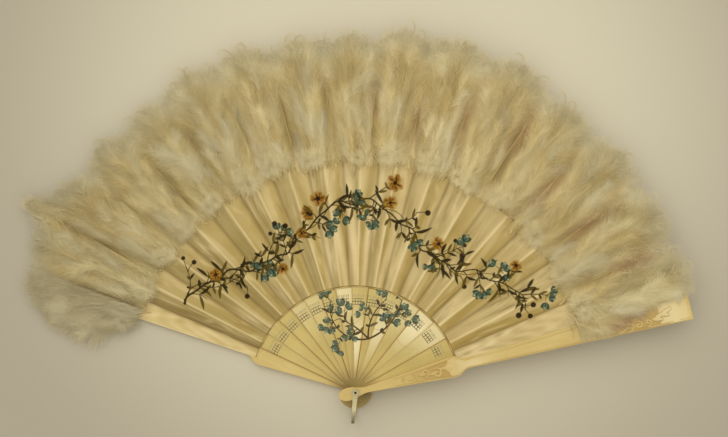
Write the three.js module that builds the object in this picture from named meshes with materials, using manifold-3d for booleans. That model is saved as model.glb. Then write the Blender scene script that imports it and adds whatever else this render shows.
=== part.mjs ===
// A folding fan: bone sticks and two guards on one rivet, a pleated silk leaf and a border of down plumes.
// It lies open and face up, +X to the right, +Y up the middle of the fan and +Z out of its face.
// The origin is on the rivet's axis, in the plane that the fan lies on.

import * as THREE from "three";
import { mergeVertices } from "three/addons/utils/BufferGeometryUtils.js";
import Module from "manifold-3d";

// Driving dimensions, in millimetres. Names with angle are in degrees.

// How far the fan is opened, in degrees: the gaps beside the rear guard are a little tighter than the others.
const STICKS = 14;
const FRONT_GUARD_ANGLE = 14.6;
const TIGHT_GAPS = 10;
const TIGHT_GAP = 9.1;
const WIDE_GAP = 10.72;

// The handle end of every stick and guard: a leaf-shaped head, a neck, and a gorge that widens outwards.
const HEAD_REACH = 16;
const HEAD_TIP_HALF = 1.3;
const HEAD_HALF = 6.1;
const HEAD_WIDEST_AT = -7;
const HEAD_BLUNTNESS = 0.5;
const NECK_AT = 11;
const NECK_HALF = 2.8;
const NECK_EASE = 0.4;
const GORGE_REACH = 99.5;
const GORGE_SWELL = 0.46;
const SHOULDER_HALF = 9.9;
const SHOULDER_CORNER = 0.9;

// Thicknesses on the rivet, and the play between neighbours.
const STICK_THICKNESS = 0.85;
const GUARD_THICKNESS = 3.2;
const STACK_PLAY = 0.3;

// The rib of a stick: a thin slat that turns into the slope of its pleat and carries leaf and plume.
// The turn of its rounded end is in degrees.
const RIB_REACH = 318;
const RIB_ROOT_HALF = 3.5;
const RIB_TIP_HALF = 1.9;
const RIB_THICKNESS = 0.5;
const RIB_TWIST_LENGTH = 7;
const RIB_END_TURN = 75;

// The blade of a guard: a wedge on radial lines, thinned on its inner face to make room for the leaf.
// A guard's shoulders lie a little nearer to the rivet than those of the sticks.
const GUARD_REACH = 325;
const GUARD_SHOULDER_INSET = 3.7;
const BLADE_THICKNESS = 1.4;
const SHOULDER_CURVE_LENGTH = 13;
const RECESS_RAMP = 4;
const GUARD_CHAMFER = 0.5;

// The rivet and the bail.
const PIN_RADIUS = 1.5;
const HOLE_PLAY = 0.25;
const RIVET_LIP = 1.2;
const RIVET_HEAD_HEIGHT = 0.9;
const RIVET_CHAMFER = 0.4;
const RIVET_DIMPLE_RADIUS = 1.2;
const RIVET_DIMPLE_DEPTH = 0.7;
const BAIL_THICKNESS = 0.8;
const BAIL_EYE_RIM = 1.2;
const BAIL_ROOT_WIDTH = 5;
const BAIL_BOW_WIDTH = 2.8;
const BAIL_HEAD_ROOM = 2;
const BAIL_ANGLE = -95;
const BAIL_PLAY = 0.3;

// The leaf: one pleat for each gap, made of a panel glued to a rib and a free panel.
const LEAF_SHOULDER_GAP = 0.9;
const LEAF_OUTER = 220;
const LEAF_THICKNESS = 0.3;
const LEAF_LIFT = 0.3;
const PANEL_ANGLE = 4.7;
const PLEAT_SLOPE = 0.22;
const PLEAT_EDGE_GAP = 0.4;
const LEAF_TUCK_ANGLE = 0.8;

// The plumes: soft lens-shaped tufts side by side around the leaf.
// Their tips sway in and out in a wave, which turns by so many radians from one plume to the next.
const PLUME_ROOT_GAP = 2;
const PLUME_REACH = 350;
const PLUME_SWAY = 4;
const PLUME_SWAY_TURN = 2.4;
const PLUME_DEPTH = 7;
const PLUME_ROOT_DEPTH = 4.5;
const PLUME_LIFT = 0.3;
const PLUME_SIDE_GAP = 1.2;
const PLUME_ROUND_LENGTH = 26;
const PLUME_TIP_FILL = 0.96;
const REAR_LOBE_ANGLE = 10;
const REAR_LOBE_SHORTENING = 10;

// How finely curves are divided.
const CURVE_STEPS = 7;
const ROUND_STEPS = 24;
const SHOULDER_STEPS = 4;
const TWIST_STEPS = 5;
const FREE_PANEL_STEPS = 4;
const PLUME_STEPS = 6;
const DOME_STEPS = 8;
const BOW_STEPS = 12;

// Corners closer than this are one corner.
const WELD_DISTANCE = 1e-4;

// Places that follow from the driving dimensions.
const FRONT_GUARD = STICKS + 1;
const STICK_PITCH = STICK_THICKNESS + STACK_PLAY;
const REAR_GUARD_BOTTOM = RIVET_HEAD_HEIGHT + BAIL_THICKNESS + 2 * BAIL_PLAY;
const FIRST_STICK_BOTTOM = REAR_GUARD_BOTTOM + GUARD_THICKNESS + STACK_PLAY;
const FRONT_GUARD_BOTTOM = FIRST_STICK_BOTTOM + STICKS * STICK_PITCH;
const FRONT_GUARD_TOP = FRONT_GUARD_BOTTOM + GUARD_THICKNESS;
const REAR_BLADE_TOP = REAR_GUARD_BOTTOM + BLADE_THICKNESS;
const FRONT_BLADE_BOTTOM = FRONT_GUARD_TOP - BLADE_THICKNESS;
const BAIL_LOW = RIVET_HEAD_HEIGHT + BAIL_PLAY;
const BAIL_HIGH = FRONT_GUARD_TOP + BAIL_PLAY;
const RIVET_TOP_HEAD = BAIL_HIGH + BAIL_THICKNESS + BAIL_PLAY;
const RIVET_TOP = RIVET_TOP_HEAD + RIVET_HEAD_HEIGHT;
const RIVET_HEAD_RADIUS = PIN_RADIUS + RIVET_LIP;
const BAIL_EYE_RADIUS = RIVET_HEAD_RADIUS + BAIL_EYE_RIM;
const BLADE_HALF_ANGLE = PANEL_ANGLE / 2;
const GUARD_SHOULDER_REACH = GORGE_REACH - GUARD_SHOULDER_INSET;
const LEAF_INNER = GORGE_REACH + LEAF_SHOULDER_GAP;
const PLUME_ROOT = LEAF_OUTER + PLUME_ROOT_GAP;

const radians = THREE.MathUtils.degToRad;
const lerp = THREE.MathUtils.lerp;
const smoothstep = THREE.MathUtils.smoothstep;

// Gap number 1 lies between the rear guard and the first stick.
const gapBefore = (member) => (member <= TIGHT_GAPS ? TIGHT_GAP : WIDE_GAP);

// Member 0 is the rear guard, and the last is the front guard.
function angleOf(member) {
  let angle = FRONT_GUARD_ANGLE;
  for (let k = FRONT_GUARD; k > member; k--) angle += gapBefore(k);
  return angle;
}

const stickBottom = (member) => FIRST_STICK_BOTTOM + (member - 1) * STICK_PITCH;

const wasm = await Module();
wasm.setup();

function solidOf(geometry) {
  const bare = new THREE.BufferGeometry();
  bare.setAttribute("position", geometry.getAttribute("position"));
  bare.setIndex(geometry.index);
  const merged = mergeVertices(bare, WELD_DISTANCE);
  const vertProperties = new Float32Array(merged.getAttribute("position").array);
  const triVerts = new Uint32Array(merged.index.array);
  return new wasm.Manifold(new wasm.Mesh({ numProp: 3, vertProperties, triVerts }));
}

function geometryOf(solid) {
  const mesh = solid.getMesh();
  const geometry = new THREE.BufferGeometry();
  geometry.setAttribute("position", new THREE.BufferAttribute(mesh.vertProperties, 3));
  geometry.setIndex(new THREE.BufferAttribute(mesh.triVerts, 1));
  geometry.computeVertexNormals();
  return geometry;
}

// The triangles of a flat ring's face, turned the same way as the ring.
function faceOf(ring) {
  const normal = new THREE.Vector3();
  ring.forEach((point, i) => normal.add(point.clone().cross(ring[(i + 1) % ring.length])));
  const across = new THREE.Vector3().crossVectors(normal, new THREE.Vector3(0, 0, 1)).normalize();
  const along = new THREE.Vector3().crossVectors(normal, across).normalize();
  const flat = ring.map((point) => new THREE.Vector2(point.dot(across), point.dot(along)));
  return THREE.ShapeUtils.triangulateShape(flat, []);
}

// A closed solid through rings of points that each run anticlockwise, seen from the far end.
function loft(rings) {
  const size = rings[0].length;
  const index = [];
  for (let i = 0; i + 1 < rings.length; i++) {
    for (let j = 0; j < size; j++) {
      const next = (j + 1) % size;
      const [a, b, c, d] = [i * size + j, i * size + next, (i + 1) * size + next, (i + 1) * size + j];
      index.push(a, b, d, b, c, d);
    }
  }
  const last = (rings.length - 1) * size;
  for (const [a, b, c] of faceOf(rings[0])) index.push(a, c, b);
  for (const [a, b, c] of faceOf(rings.at(-1))) index.push(last + a, last + b, last + c);
  const geometry = new THREE.BufferGeometry().setFromPoints(rings.flat());
  geometry.setIndex(index);
  geometry.computeVertexNormals();
  return geometry;
}

// A cylinder that stands along Z, with its foot at a given height.
function upright(radius, foot, height) {
  const geometry = new THREE.CylinderGeometry(radius, radius, height, ROUND_STEPS);
  geometry.rotateX(Math.PI / 2);
  geometry.translate(0, 0, foot + height / 2);
  return geometry;
}

function withRivetHole(geometry, thickness) {
  const drill = upright(PIN_RADIUS + HOLE_PLAY, -thickness, 3 * thickness);
  return geometryOf(solidOf(geometry).subtract(solidOf(drill)));
}

// Half the outline from the head's tip to the shoulder: x runs outwards from the rivet, y is half the width.
function handleOutline(shoulderReach) {
  const outline = new THREE.Path();
  outline.moveTo(-HEAD_REACH, HEAD_TIP_HALF);
  outline.bezierCurveTo(
    -HEAD_REACH, lerp(HEAD_TIP_HALF, HEAD_HALF, HEAD_BLUNTNESS),
    (HEAD_WIDEST_AT - HEAD_REACH) / 2, HEAD_HALF,
    HEAD_WIDEST_AT, HEAD_HALF,
  );
  outline.bezierCurveTo(
    lerp(HEAD_WIDEST_AT, NECK_AT, NECK_EASE), HEAD_HALF,
    lerp(NECK_AT, HEAD_WIDEST_AT, NECK_EASE), NECK_HALF,
    NECK_AT, NECK_HALF,
  );
  outline.quadraticCurveTo(
    (NECK_AT + shoulderReach) / 2, lerp(NECK_HALF, SHOULDER_HALF, GORGE_SWELL),
    shoulderReach - SHOULDER_CORNER, SHOULDER_HALF,
  );
  return outline.getPoints(CURVE_STEPS);
}

// How far a stick has turned into the slope of its pleat at a distance from the rivet.
const slopeAt = (reach) => PLEAT_SLOPE * smoothstep(reach, GORGE_REACH, GORGE_REACH + RIB_TWIST_LENGTH);

const ribTop = (reach) =>
  lerp(STICK_THICKNESS, RIB_THICKNESS, smoothstep(reach, GORGE_REACH, GORGE_REACH + RIB_TWIST_LENGTH));

// The places along the twist where a stick and its pleat are shaped alike.
const TWIST_STATIONS = Array.from(
  { length: TWIST_STEPS },
  (_, i) => GORGE_REACH + ((i + 1) / TWIST_STEPS) * RIB_TWIST_LENGTH,
);

function stickRing(reach, half) {
  const lean = slopeAt(reach) * half;
  const top = ribTop(reach);
  return [
    new THREE.Vector3(reach, half, top + lean),
    new THREE.Vector3(reach, -half, top - lean),
    new THREE.Vector3(reach, -half, -lean),
    new THREE.Vector3(reach, half, lean),
  ];
}

// A stick: head, neck and gorge in one flat blade, then a step at the shoulder into the rib.
function stickGeometry() {
  const rings = handleOutline(GORGE_REACH).map((point) => stickRing(point.x, point.y));
  for (let i = 0; i <= SHOULDER_STEPS; i++) {
    const half = lerp(SHOULDER_HALF - SHOULDER_CORNER, RIB_ROOT_HALF, i / SHOULDER_STEPS);
    rings.push(stickRing(Math.sqrt(GORGE_REACH ** 2 - half ** 2), half));
  }
  const ribLength = RIB_REACH - GORGE_REACH;
  const halfAt = (reach) => lerp(RIB_ROOT_HALF, RIB_TIP_HALF, (reach - GORGE_REACH) / ribLength);
  for (const reach of TWIST_STATIONS) rings.push(stickRing(reach, halfAt(reach)));
  for (let i = 0; i <= SHOULDER_STEPS; i++) {
    const turn = (i / SHOULDER_STEPS) * radians(RIB_END_TURN);
    const half = RIB_TIP_HALF * Math.cos(turn);
    rings.push(stickRing(RIB_REACH - RIB_TIP_HALF * (1 - Math.sin(turn)), half));
  }
  return withRivetHole(loft(rings), STICK_THICKNESS);
}

// A guard lies with its outer face on z = 0 and its inner face above. The outer edges are chamfered.
function guardRing(reach, half) {
  const recess = GUARD_THICKNESS - BLADE_THICKNESS;
  const inner = GUARD_THICKNESS - recess * smoothstep(reach, GORGE_REACH - RECESS_RAMP, GORGE_REACH);
  const flat = half - Math.min(GUARD_CHAMFER, half / 2);
  return [
    new THREE.Vector3(reach, half, inner),
    new THREE.Vector3(reach, -half, inner),
    new THREE.Vector3(reach, -half, GUARD_CHAMFER),
    new THREE.Vector3(reach, -flat, 0),
    new THREE.Vector3(reach, flat, 0),
    new THREE.Vector3(reach, half, GUARD_CHAMFER),
  ];
}

// A guard: the same handle, an S-curve from the shoulder into the neck of the blade, and a wedge to the end.
function guardGeometry() {
  const rings = handleOutline(GUARD_SHOULDER_REACH).map((point) => guardRing(point.x, point.y));
  const bladeHalf = (reach) => reach * Math.tan(radians(BLADE_HALF_ANGLE));
  const curveStart = GUARD_SHOULDER_REACH + SHOULDER_CORNER;
  for (let i = 0; i <= CURVE_STEPS; i++) {
    const share = i / CURVE_STEPS;
    const reach = curveStart + share * SHOULDER_CURVE_LENGTH;
    const half = lerp(SHOULDER_HALF, bladeHalf(reach), smoothstep(share, 0, 1));
    rings.push(guardRing(reach, half));
  }
  rings.push(guardRing(GUARD_REACH - GUARD_CHAMFER, bladeHalf(GUARD_REACH)));
  rings.push(guardRing(GUARD_REACH, bladeHalf(GUARD_REACH) - GUARD_CHAMFER));
  return withRivetHole(loft(rings), GUARD_THICKNESS);
}

// A rivet with a flat foot, and a dimple where its top end was spread.
function rivetGeometry() {
  const profile = [
    [0, 0],
    [RIVET_HEAD_RADIUS - RIVET_CHAMFER, 0],
    [RIVET_HEAD_RADIUS, RIVET_CHAMFER],
    [RIVET_HEAD_RADIUS, RIVET_HEAD_HEIGHT],
    [PIN_RADIUS, RIVET_HEAD_HEIGHT],
    [PIN_RADIUS, RIVET_TOP_HEAD],
    [RIVET_HEAD_RADIUS, RIVET_TOP_HEAD],
    [RIVET_HEAD_RADIUS, RIVET_TOP - RIVET_CHAMFER],
    [RIVET_HEAD_RADIUS - RIVET_CHAMFER, RIVET_TOP],
    [RIVET_DIMPLE_RADIUS, RIVET_TOP],
    [RIVET_DIMPLE_RADIUS / 2, RIVET_TOP - RIVET_DIMPLE_DEPTH],
    [0, RIVET_TOP - RIVET_DIMPLE_DEPTH],
  ];
  const geometry = new THREE.LatheGeometry(
    profile.map(([radius, height]) => new THREE.Vector2(radius, height)),
    ROUND_STEPS,
  );
  return geometry.rotateX(Math.PI / 2);
}

// The bail: a flat strip bent into a U round the heads, with an eye at each end. It reaches along +X.
function bailGeometry() {
  const low = BAIL_LOW + BAIL_THICKNESS / 2;
  const high = BAIL_HIGH + BAIL_THICKNESS / 2;
  const bowRadius = (high - low) / 2;
  const bowAt = HEAD_REACH + BAIL_HEAD_ROOM;
  const stripStart = PIN_RADIUS + HOLE_PLAY;
  const ring = (reach, height, turn) => {
    const half = lerp(BAIL_ROOT_WIDTH, BAIL_BOW_WIDTH, reach / (bowAt + bowRadius)) / 2;
    const out = new THREE.Vector3(Math.sin(turn), 0, Math.cos(turn));
    const corner = (side, face) =>
      new THREE.Vector3(reach, side * half, height).addScaledVector(out, (face * BAIL_THICKNESS) / 2);
    return [corner(1, 1), corner(-1, 1), corner(-1, -1), corner(1, -1)];
  };
  const rings = [ring(stripStart, high, 0)];
  for (let i = 0; i <= BOW_STEPS; i++) {
    const turn = (i / BOW_STEPS) * Math.PI;
    const height = (low + high) / 2 + bowRadius * Math.cos(turn);
    rings.push(ring(bowAt + bowRadius * Math.sin(turn), height, turn));
  }
  rings.push(ring(stripStart, low, Math.PI));
  let bail = solidOf(loft(rings));
  for (const foot of [BAIL_LOW, BAIL_HIGH]) {
    bail = bail.add(solidOf(upright(BAIL_EYE_RADIUS, foot, BAIL_THICKNESS)));
  }
  const drill = upright(PIN_RADIUS + BAIL_PLAY, 0, RIVET_TOP);
  return geometryOf(bail.subtract(solidOf(drill)));
}

// The height of the leaf's middle surface over the glued panel of a member, at a distance from the rivet
// and an angle from the member's middle line. The panel on the rear guard lies flat on its blade.
function gluedHeight(member, reach, angle) {
  const lift = LEAF_LIFT + LEAF_THICKNESS / 2;
  if (member === 0) return REAR_BLADE_TOP + lift;
  if (member === FRONT_GUARD) return FRONT_BLADE_BOTTOM - lift;
  return stickBottom(member) + ribTop(reach) + lift + slopeAt(reach) * reach * Math.tan(angle);
}

// One pleat: from left to right the panel glued to its member falls, and the free panel climbs to the next.
function pleatGeometry(member) {
  const half = radians(PANEL_ANGLE) / 2;
  const isLast = member === STICKS;
  const gap = radians(gapBefore(member + 1));
  const reachUnder = isLast ? radians(BLADE_HALF_ANGLE - LEAF_TUCK_ANGLE) : half;
  const ring = (reach) => {
    const edge = isLast ? 0 : PLEAT_EDGE_GAP / reach;
    const freeAngle = gap - half - reachUnder - edge;
    const start = gluedHeight(member, reach, -half);
    const end = gluedHeight(member + 1, reach, half);
    const point = (angle, height) =>
      new THREE.Vector3(reach * Math.cos(angle), reach * Math.sin(angle), height);
    const line = [point(half, gluedHeight(member, reach, half)), point(-half, start)];
    for (let i = 1; i <= FREE_PANEL_STEPS; i++) {
      const share = i / FREE_PANEL_STEPS;
      const height = start + (end - start - STICK_PITCH) * share + STICK_PITCH * share ** 3;
      line.push(point(-half - share * freeAngle, height));
    }
    const shift = (by) => line.map((p) => p.clone().setZ(p.z + by));
    return [...shift(LEAF_THICKNESS / 2), ...shift(-LEAF_THICKNESS / 2).reverse()];
  };
  const stations = TWIST_STATIONS.filter((reach) => reach > LEAF_INNER);
  return loft([LEAF_INNER, ...stations, LEAF_OUTER].map(ring));
}

// A plume: a tuft on its rib, flat below and domed above, that fills its share of the border.
function plumeGeometry(member) {
  const isFirst = member === 0;
  const isLast = member === STICKS;
  const left = isFirst ? radians(REAR_LOBE_ANGLE) : radians(gapBefore(member)) / 2;
  const next = radians(gapBefore(member + 1));
  const right = isLast ? next - radians(BLADE_HALF_ANGLE) : next / 2;
  const sway = isFirst ? -REAR_LOBE_SHORTENING : PLUME_SWAY * Math.sin(member * PLUME_SWAY_TURN);
  const tip = PLUME_REACH + sway;
  const bed = isFirst
    ? REAR_BLADE_TOP + PLUME_LIFT
    : stickBottom(member) + RIB_THICKNESS + PLEAT_SLOPE * RIB_ROOT_HALF + PLUME_LIFT;
  const fullest = tip - PLUME_ROUND_LENGTH;
  const ring = (reach) => {
    const filled = Math.min((reach - PLUME_ROOT) / (fullest - PLUME_ROOT), 1);
    const rounding = Math.max(reach - fullest, 0) / PLUME_ROUND_LENGTH;
    const spread = Math.sqrt(1 - (PLUME_TIP_FILL * rounding) ** 2);
    const depth = lerp(PLUME_ROOT_DEPTH, PLUME_DEPTH, filled) * spread;
    const side = (angle) => angle * spread - PLUME_SIDE_GAP / 2 / reach;
    const point = (across, height) => {
      const angle = across > 0 ? across * side(left) : across * side(right);
      return new THREE.Vector3(reach * Math.cos(angle), reach * Math.sin(angle), bed + depth * height);
    };
    const line = [];
    for (let i = 0; i <= DOME_STEPS; i++) {
      const turn = (i / DOME_STEPS) * Math.PI;
      line.push(point(Math.cos(turn), Math.sin(turn)));
    }
    return [...line, point(0, 0)];
  };
  const rings = [ring(PLUME_ROOT), ring((PLUME_ROOT + fullest) / 2)];
  for (let i = 0; i <= PLUME_STEPS; i++) {
    rings.push(ring(fullest + PLUME_ROUND_LENGTH * Math.sin((i / PLUME_STEPS) * Math.PI / 2)));
  }
  return loft(rings);
}

const bone = (color) => new THREE.MeshStandardMaterial({ color, roughness: 0.4, metalness: 0 });
const silk = () => new THREE.MeshStandardMaterial({ color: 0xd8cba8, roughness: 0.5, metalness: 0 });
const down = () => new THREE.MeshStandardMaterial({ color: 0xc4bb9f, roughness: 0.9, metalness: 0 });
const brass = () => new THREE.MeshStandardMaterial({ color: 0xa39468, roughness: 0.4, metalness: 1 });

const fan = new THREE.Group();

function place(name, geometry, material, turn = 0, height = 0) {
  const mesh = new THREE.Mesh(geometry, material);
  mesh.name = name;
  mesh.rotation.z = radians(turn);
  mesh.position.z = height;
  fan.add(mesh);
}

const numbered = (word, number) => `${word}_${String(number).padStart(2, "0")}`;

const guard = guardGeometry();
place("rear_guard", guard, bone(0xd9b978), angleOf(0), REAR_GUARD_BOTTOM);
const turnedGuard = guard.clone().rotateX(Math.PI);
place("front_guard", turnedGuard, bone(0xdcc07e), FRONT_GUARD_ANGLE, FRONT_GUARD_TOP);

const stick = stickGeometry();
for (let k = 1; k <= STICKS; k++) {
  place(numbered("stick", k), stick, bone(0xdfc88c), angleOf(k), stickBottom(k));
}

for (let k = 0; k <= STICKS; k++) {
  place(numbered("leaf_pleat", k), pleatGeometry(k), silk(), angleOf(k));
  place(numbered("plume", k), plumeGeometry(k), down(), angleOf(k));
}

place("rivet", rivetGeometry(), brass());
place("bail", bailGeometry(), brass(), BAIL_ANGLE);

export default fan;
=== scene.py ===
# %% [markdown]
# # A folding fan with a painted silk leaf and a border of down
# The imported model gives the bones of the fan: sticks, guards, rivet and bail. They stay where they are.
# This lesson dresses them. It paints the sticks, carves the front guard, pleats the silk and makes the down.
# Sizes are in millimetres while we work, and become metres when a mesh is made.

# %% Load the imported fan
import math

import bpy
import numpy as np
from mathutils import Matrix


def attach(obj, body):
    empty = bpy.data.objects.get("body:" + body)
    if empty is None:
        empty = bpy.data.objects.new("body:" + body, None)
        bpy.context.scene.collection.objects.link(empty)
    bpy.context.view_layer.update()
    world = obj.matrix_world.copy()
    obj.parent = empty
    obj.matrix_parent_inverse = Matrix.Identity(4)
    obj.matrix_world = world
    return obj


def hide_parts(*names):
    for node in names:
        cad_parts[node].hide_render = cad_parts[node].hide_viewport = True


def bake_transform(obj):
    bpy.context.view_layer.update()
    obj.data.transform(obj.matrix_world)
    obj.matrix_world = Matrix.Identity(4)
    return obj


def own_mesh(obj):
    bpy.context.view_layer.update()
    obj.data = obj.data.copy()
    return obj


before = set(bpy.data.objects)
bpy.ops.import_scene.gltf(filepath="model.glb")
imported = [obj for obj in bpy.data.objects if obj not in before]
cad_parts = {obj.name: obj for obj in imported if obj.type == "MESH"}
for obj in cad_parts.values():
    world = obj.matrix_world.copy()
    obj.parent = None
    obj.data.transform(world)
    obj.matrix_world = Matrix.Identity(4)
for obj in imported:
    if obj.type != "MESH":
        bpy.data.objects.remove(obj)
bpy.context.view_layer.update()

MM = 0.001

# %% [markdown]
# ## Where each stick lies
# Every stick turns on the rivet, which is the origin. One angle and one height then say where a stick is.
# Both could be typed in again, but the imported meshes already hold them, so we measure the meshes.

# %% Measure the sticks and guards
STICKS = sorted(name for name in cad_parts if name.startswith("stick_"))
MEMBERS = ["rear_guard"] + STICKS + ["front_guard"]
LAST_STICK = len(STICKS)
FRONT = len(STICKS) + 1
HANDLE_REACH = 60.0
BLADE_REACH = 250.0


def corners(node):
    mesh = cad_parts[node].data
    points = np.zeros(len(mesh.vertices) * 3)
    mesh.vertices.foreach_get("co", points)
    return points.reshape(-1, 3) / MM


def direction(node):
    points = corners(node)
    tip = points[np.hypot(points[:, 0], points[:, 1]) > BLADE_REACH].mean(0)
    return math.atan2(tip[1], tip[0])


def heights(node, near, far):
    points = corners(node)
    reach = np.hypot(points[:, 0], points[:, 1])
    level = points[(reach > near) & (reach < far), 2]
    return level.min(), level.max()


ANGLES = np.array([direction(node) for node in MEMBERS])
BOTTOMS = np.array([heights(node, 0, HANDLE_REACH)[0] for node in MEMBERS])
TOPS = np.array([heights(node, 0, HANDLE_REACH)[1] for node in MEMBERS])
STICK_PITCH = BOTTOMS[2] - BOTTOMS[1]
REAR_BLADE_TOP = heights("rear_guard", BLADE_REACH, math.inf)[1]
FRONT_BLADE_BOTTOM, FRONT_TOP = heights("front_guard", BLADE_REACH, math.inf)
print("angles:", np.degrees(ANGLES).round(1))

# %% [markdown]
# ## Shader maths that reads as Python
# A material is a graph of nodes. Writing each link by hand hides the sum that it makes.
# The class `Value` wraps one output socket, so that `1 - mask * 0.5` adds the Math nodes by itself.

# %% Sums of sockets


class Value:
    def __init__(self, finish, out):
        self.finish = finish
        self.out = out

    def math(self, operation, *values):
        return self.finish.node("ShaderNodeMath", {"operation": operation}, dict(enumerate(values)))

    def __add__(self, other):
        return self.math("ADD", self, other)

    def __sub__(self, other):
        return self.math("SUBTRACT", self, other)

    def __rsub__(self, other):
        return self.math("SUBTRACT", other, self)

    def __mul__(self, other):
        return self.math("MULTIPLY", self, other)

    __radd__ = __add__
    __rmul__ = __mul__


print("sums of sockets: plus, minus and times")

# %% [markdown]
# ## One class for every material
# The class `Finish` is one material. Its method `node` adds any node, with settings before sockets.
# The other methods are the few nodes that the finishes share. Colours are given as they look on screen.

# %% A class for materials


class Finish:
    def __init__(self, name, **constants):
        self.material = bpy.data.materials.new(name)
        self.material.use_nodes = True
        self.tree = self.material.node_tree
        self.shader = self.tree.nodes["Principled BSDF"]
        for socket, value in constants.items():
            self.shader.inputs[socket.replace("_", " ")].default_value = value

    def node(self, kind, settings, sockets, out=0):
        made = self.tree.nodes.new(kind)
        for name, value in settings.items():
            setattr(made, name, value)
        for name, value in sockets.items():
            self.plug(made.inputs[name], value)
        return Value(self, made.outputs[out])

    def plug(self, socket, value):
        if isinstance(value, Value):
            self.tree.links.new(value.out, socket)
        else:
            socket.default_value = value

    def feed(self, **values):
        for socket, value in values.items():
            self.plug(self.shader.inputs[socket.replace("_", " ")], value)

    def mix(self, share, first, second):
        settings = {"data_type": "RGBA"}
        return self.node("ShaderNodeMix", settings, {"Factor": share, 6: first, 7: second}, out=2)

    def band(self, value, low, high):
        sockets = {"Value": value, "From Min": low, "From Max": high}
        return self.node("ShaderNodeMapRange", {"interpolation_type": "SMOOTHSTEP"}, sockets)

    def noise(self, where, scale, detail=3.0):
        return self.node("ShaderNodeTexNoise", {}, {"Vector": where, "Scale": scale, "Detail": detail})

    def place(self, turn=0.0, stretch=(1.0, 1.0, 1.0)):
        where = self.node("ShaderNodeTexCoord", {}, {}, out="Object")
        sockets = {"Vector": where, "Rotation": (0.0, 0.0, -turn)}
        return self.times(self.node("ShaderNodeMapping", {}, sockets), stretch)

    def times(self, vector, factors):
        return self.node("ShaderNodeVectorMath", {"operation": "MULTIPLY"}, {0: vector, 1: factors})

    def from_axis(self):
        """How far a point lies from the rivet's axis, in metres."""
        flat = self.place(stretch=(1.0, 1.0, 0.0))
        return self.node("ShaderNodeVectorMath", {"operation": "LENGTH"}, {0: flat}, out="Value")

    def attribute(self, name, out="Color"):
        return self.node("ShaderNodeAttribute", {"attribute_name": name}, {}, out=out)

    def bump(self, height, distance, strength=1.0):
        sockets = {"Height": height, "Distance": distance, "Strength": strength}
        self.feed(Normal=self.node("ShaderNodeBump", {}, sockets))


def colour(red, green, blue):
    """A colour given as it looks on screen, from 0 to 255, in the linear values that shaders use."""
    shown = np.array([red, green, blue]) / 255.0
    return np.where(shown <= 0.04045, shown / 12.92, ((shown + 0.055) / 1.055) ** 2.4)


def rgba(shade):
    return (*[float(part) for part in shade], 1.0)


print("a middle grey is", colour(128, 128, 128).round(3))

# %% [markdown]
# ## The camera and the light
# The fan lies open and is seen from straight above, so the camera looks down.
# A long lens keeps the edges of the fan from leaning outwards.
# The light is one wide soft lamp above the far edge and a little to the left. An even sky fills the shadows.

# %% Set the camera and light
VIEW_WIDTH = 689.0
VIEW_MIDDLE = (8.0, 163.7)
VIEW_LEVEL = 14.0
LENS = 85.0
SENSOR_WIDTH = 36.0
LAMP_ENERGY = 1.0
LAMP_TILT = (-34.0, -14.0, 0.0)
LAMP_SPREAD = 80.0
SKY = (1.0, 0.985, 0.95, 1.0)
SKY_STRENGTH = 0.68

camera_data = bpy.data.cameras.new("camera")
camera_data.lens = LENS
camera_data.sensor_width = SENSOR_WIDTH
camera = bpy.data.objects.new("camera", camera_data)
view_distance = VIEW_WIDTH * LENS / SENSOR_WIDTH
camera.location = (VIEW_MIDDLE[0] * MM, VIEW_MIDDLE[1] * MM, (VIEW_LEVEL + view_distance) * MM)
bpy.context.collection.objects.link(camera)
scene = bpy.context.scene
scene.camera = camera
scene.view_settings.view_transform = "Standard"

lamp_data = bpy.data.lights.new("soft_lamp", "SUN")
lamp_data.energy = LAMP_ENERGY
lamp_data.angle = math.radians(LAMP_SPREAD)
lamp = bpy.data.objects.new("soft_lamp", lamp_data)
lamp.rotation_euler = [math.radians(part) for part in LAMP_TILT]
bpy.context.collection.objects.link(lamp)

world = bpy.data.worlds.new("even_sky")
world.use_nodes = True
background = world.node_tree.nodes["Background"].inputs
background["Color"].default_value = SKY
background["Strength"].default_value = SKY_STRENGTH
scene.world = world
print("camera height", round(camera.location.z, 3), "m")

# %% [markdown]
# ## Meshes from grids of points
# One helper makes every mesh from points and quads. It also keeps one colour for each point,
# and a flat layout of its own. Silk, painted faces and carving are all surfaces over a grid,
# so a second helper works out the quads and the layout of a grid.

# %% Helpers for meshes
LAYOUT_SPAN = (0.02, 0.98)


def piece_from_quads(name, points, quads, shades, layout, finish):
    mesh = bpy.data.meshes.new(name)
    mesh.vertices.add(len(points))
    mesh.vertices.foreach_set("co", (points * MM).ravel())
    mesh.loops.add(quads.size)
    mesh.loops.foreach_set("vertex_index", quads.ravel())
    mesh.polygons.add(len(quads))
    mesh.polygons.foreach_set("loop_start", np.arange(0, quads.size, 4))
    mesh.update(calc_edges=True)
    mesh.shade_smooth()
    paint = mesh.color_attributes.new("Paint", "FLOAT_COLOR", "POINT")
    paint.data.foreach_set("color", shades.astype(np.float32).ravel())
    flat = mesh.uv_layers.new(name="OFBake")
    flat.data.foreach_set("uv", layout[quads.ravel()].astype(np.float32).ravel())
    mesh.materials.append(finish)
    made = bpy.data.objects.new(name, mesh)
    bpy.context.collection.objects.link(made)
    return made


def grid_quads(rows, columns):
    first = (np.arange(rows - 1)[:, None] * columns + np.arange(columns - 1)).ravel()
    return np.stack([first, first + 1, first + columns + 1, first + columns], axis=1)


def piece_from_grid(name, points, columns, shades, finish):
    """A mesh over points that are listed row by row."""
    rows = len(points) // columns
    along = np.repeat(np.linspace(*LAYOUT_SPAN, rows), columns)
    across = np.tile(np.linspace(*LAYOUT_SPAN, columns), rows)
    layout = np.stack([across, along], axis=1)
    return piece_from_quads(name, points, grid_quads(rows, columns), shades, layout, finish)


print("a grid of 3 by 4 points has", len(grid_quads(3, 4)), "quads")

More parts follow.
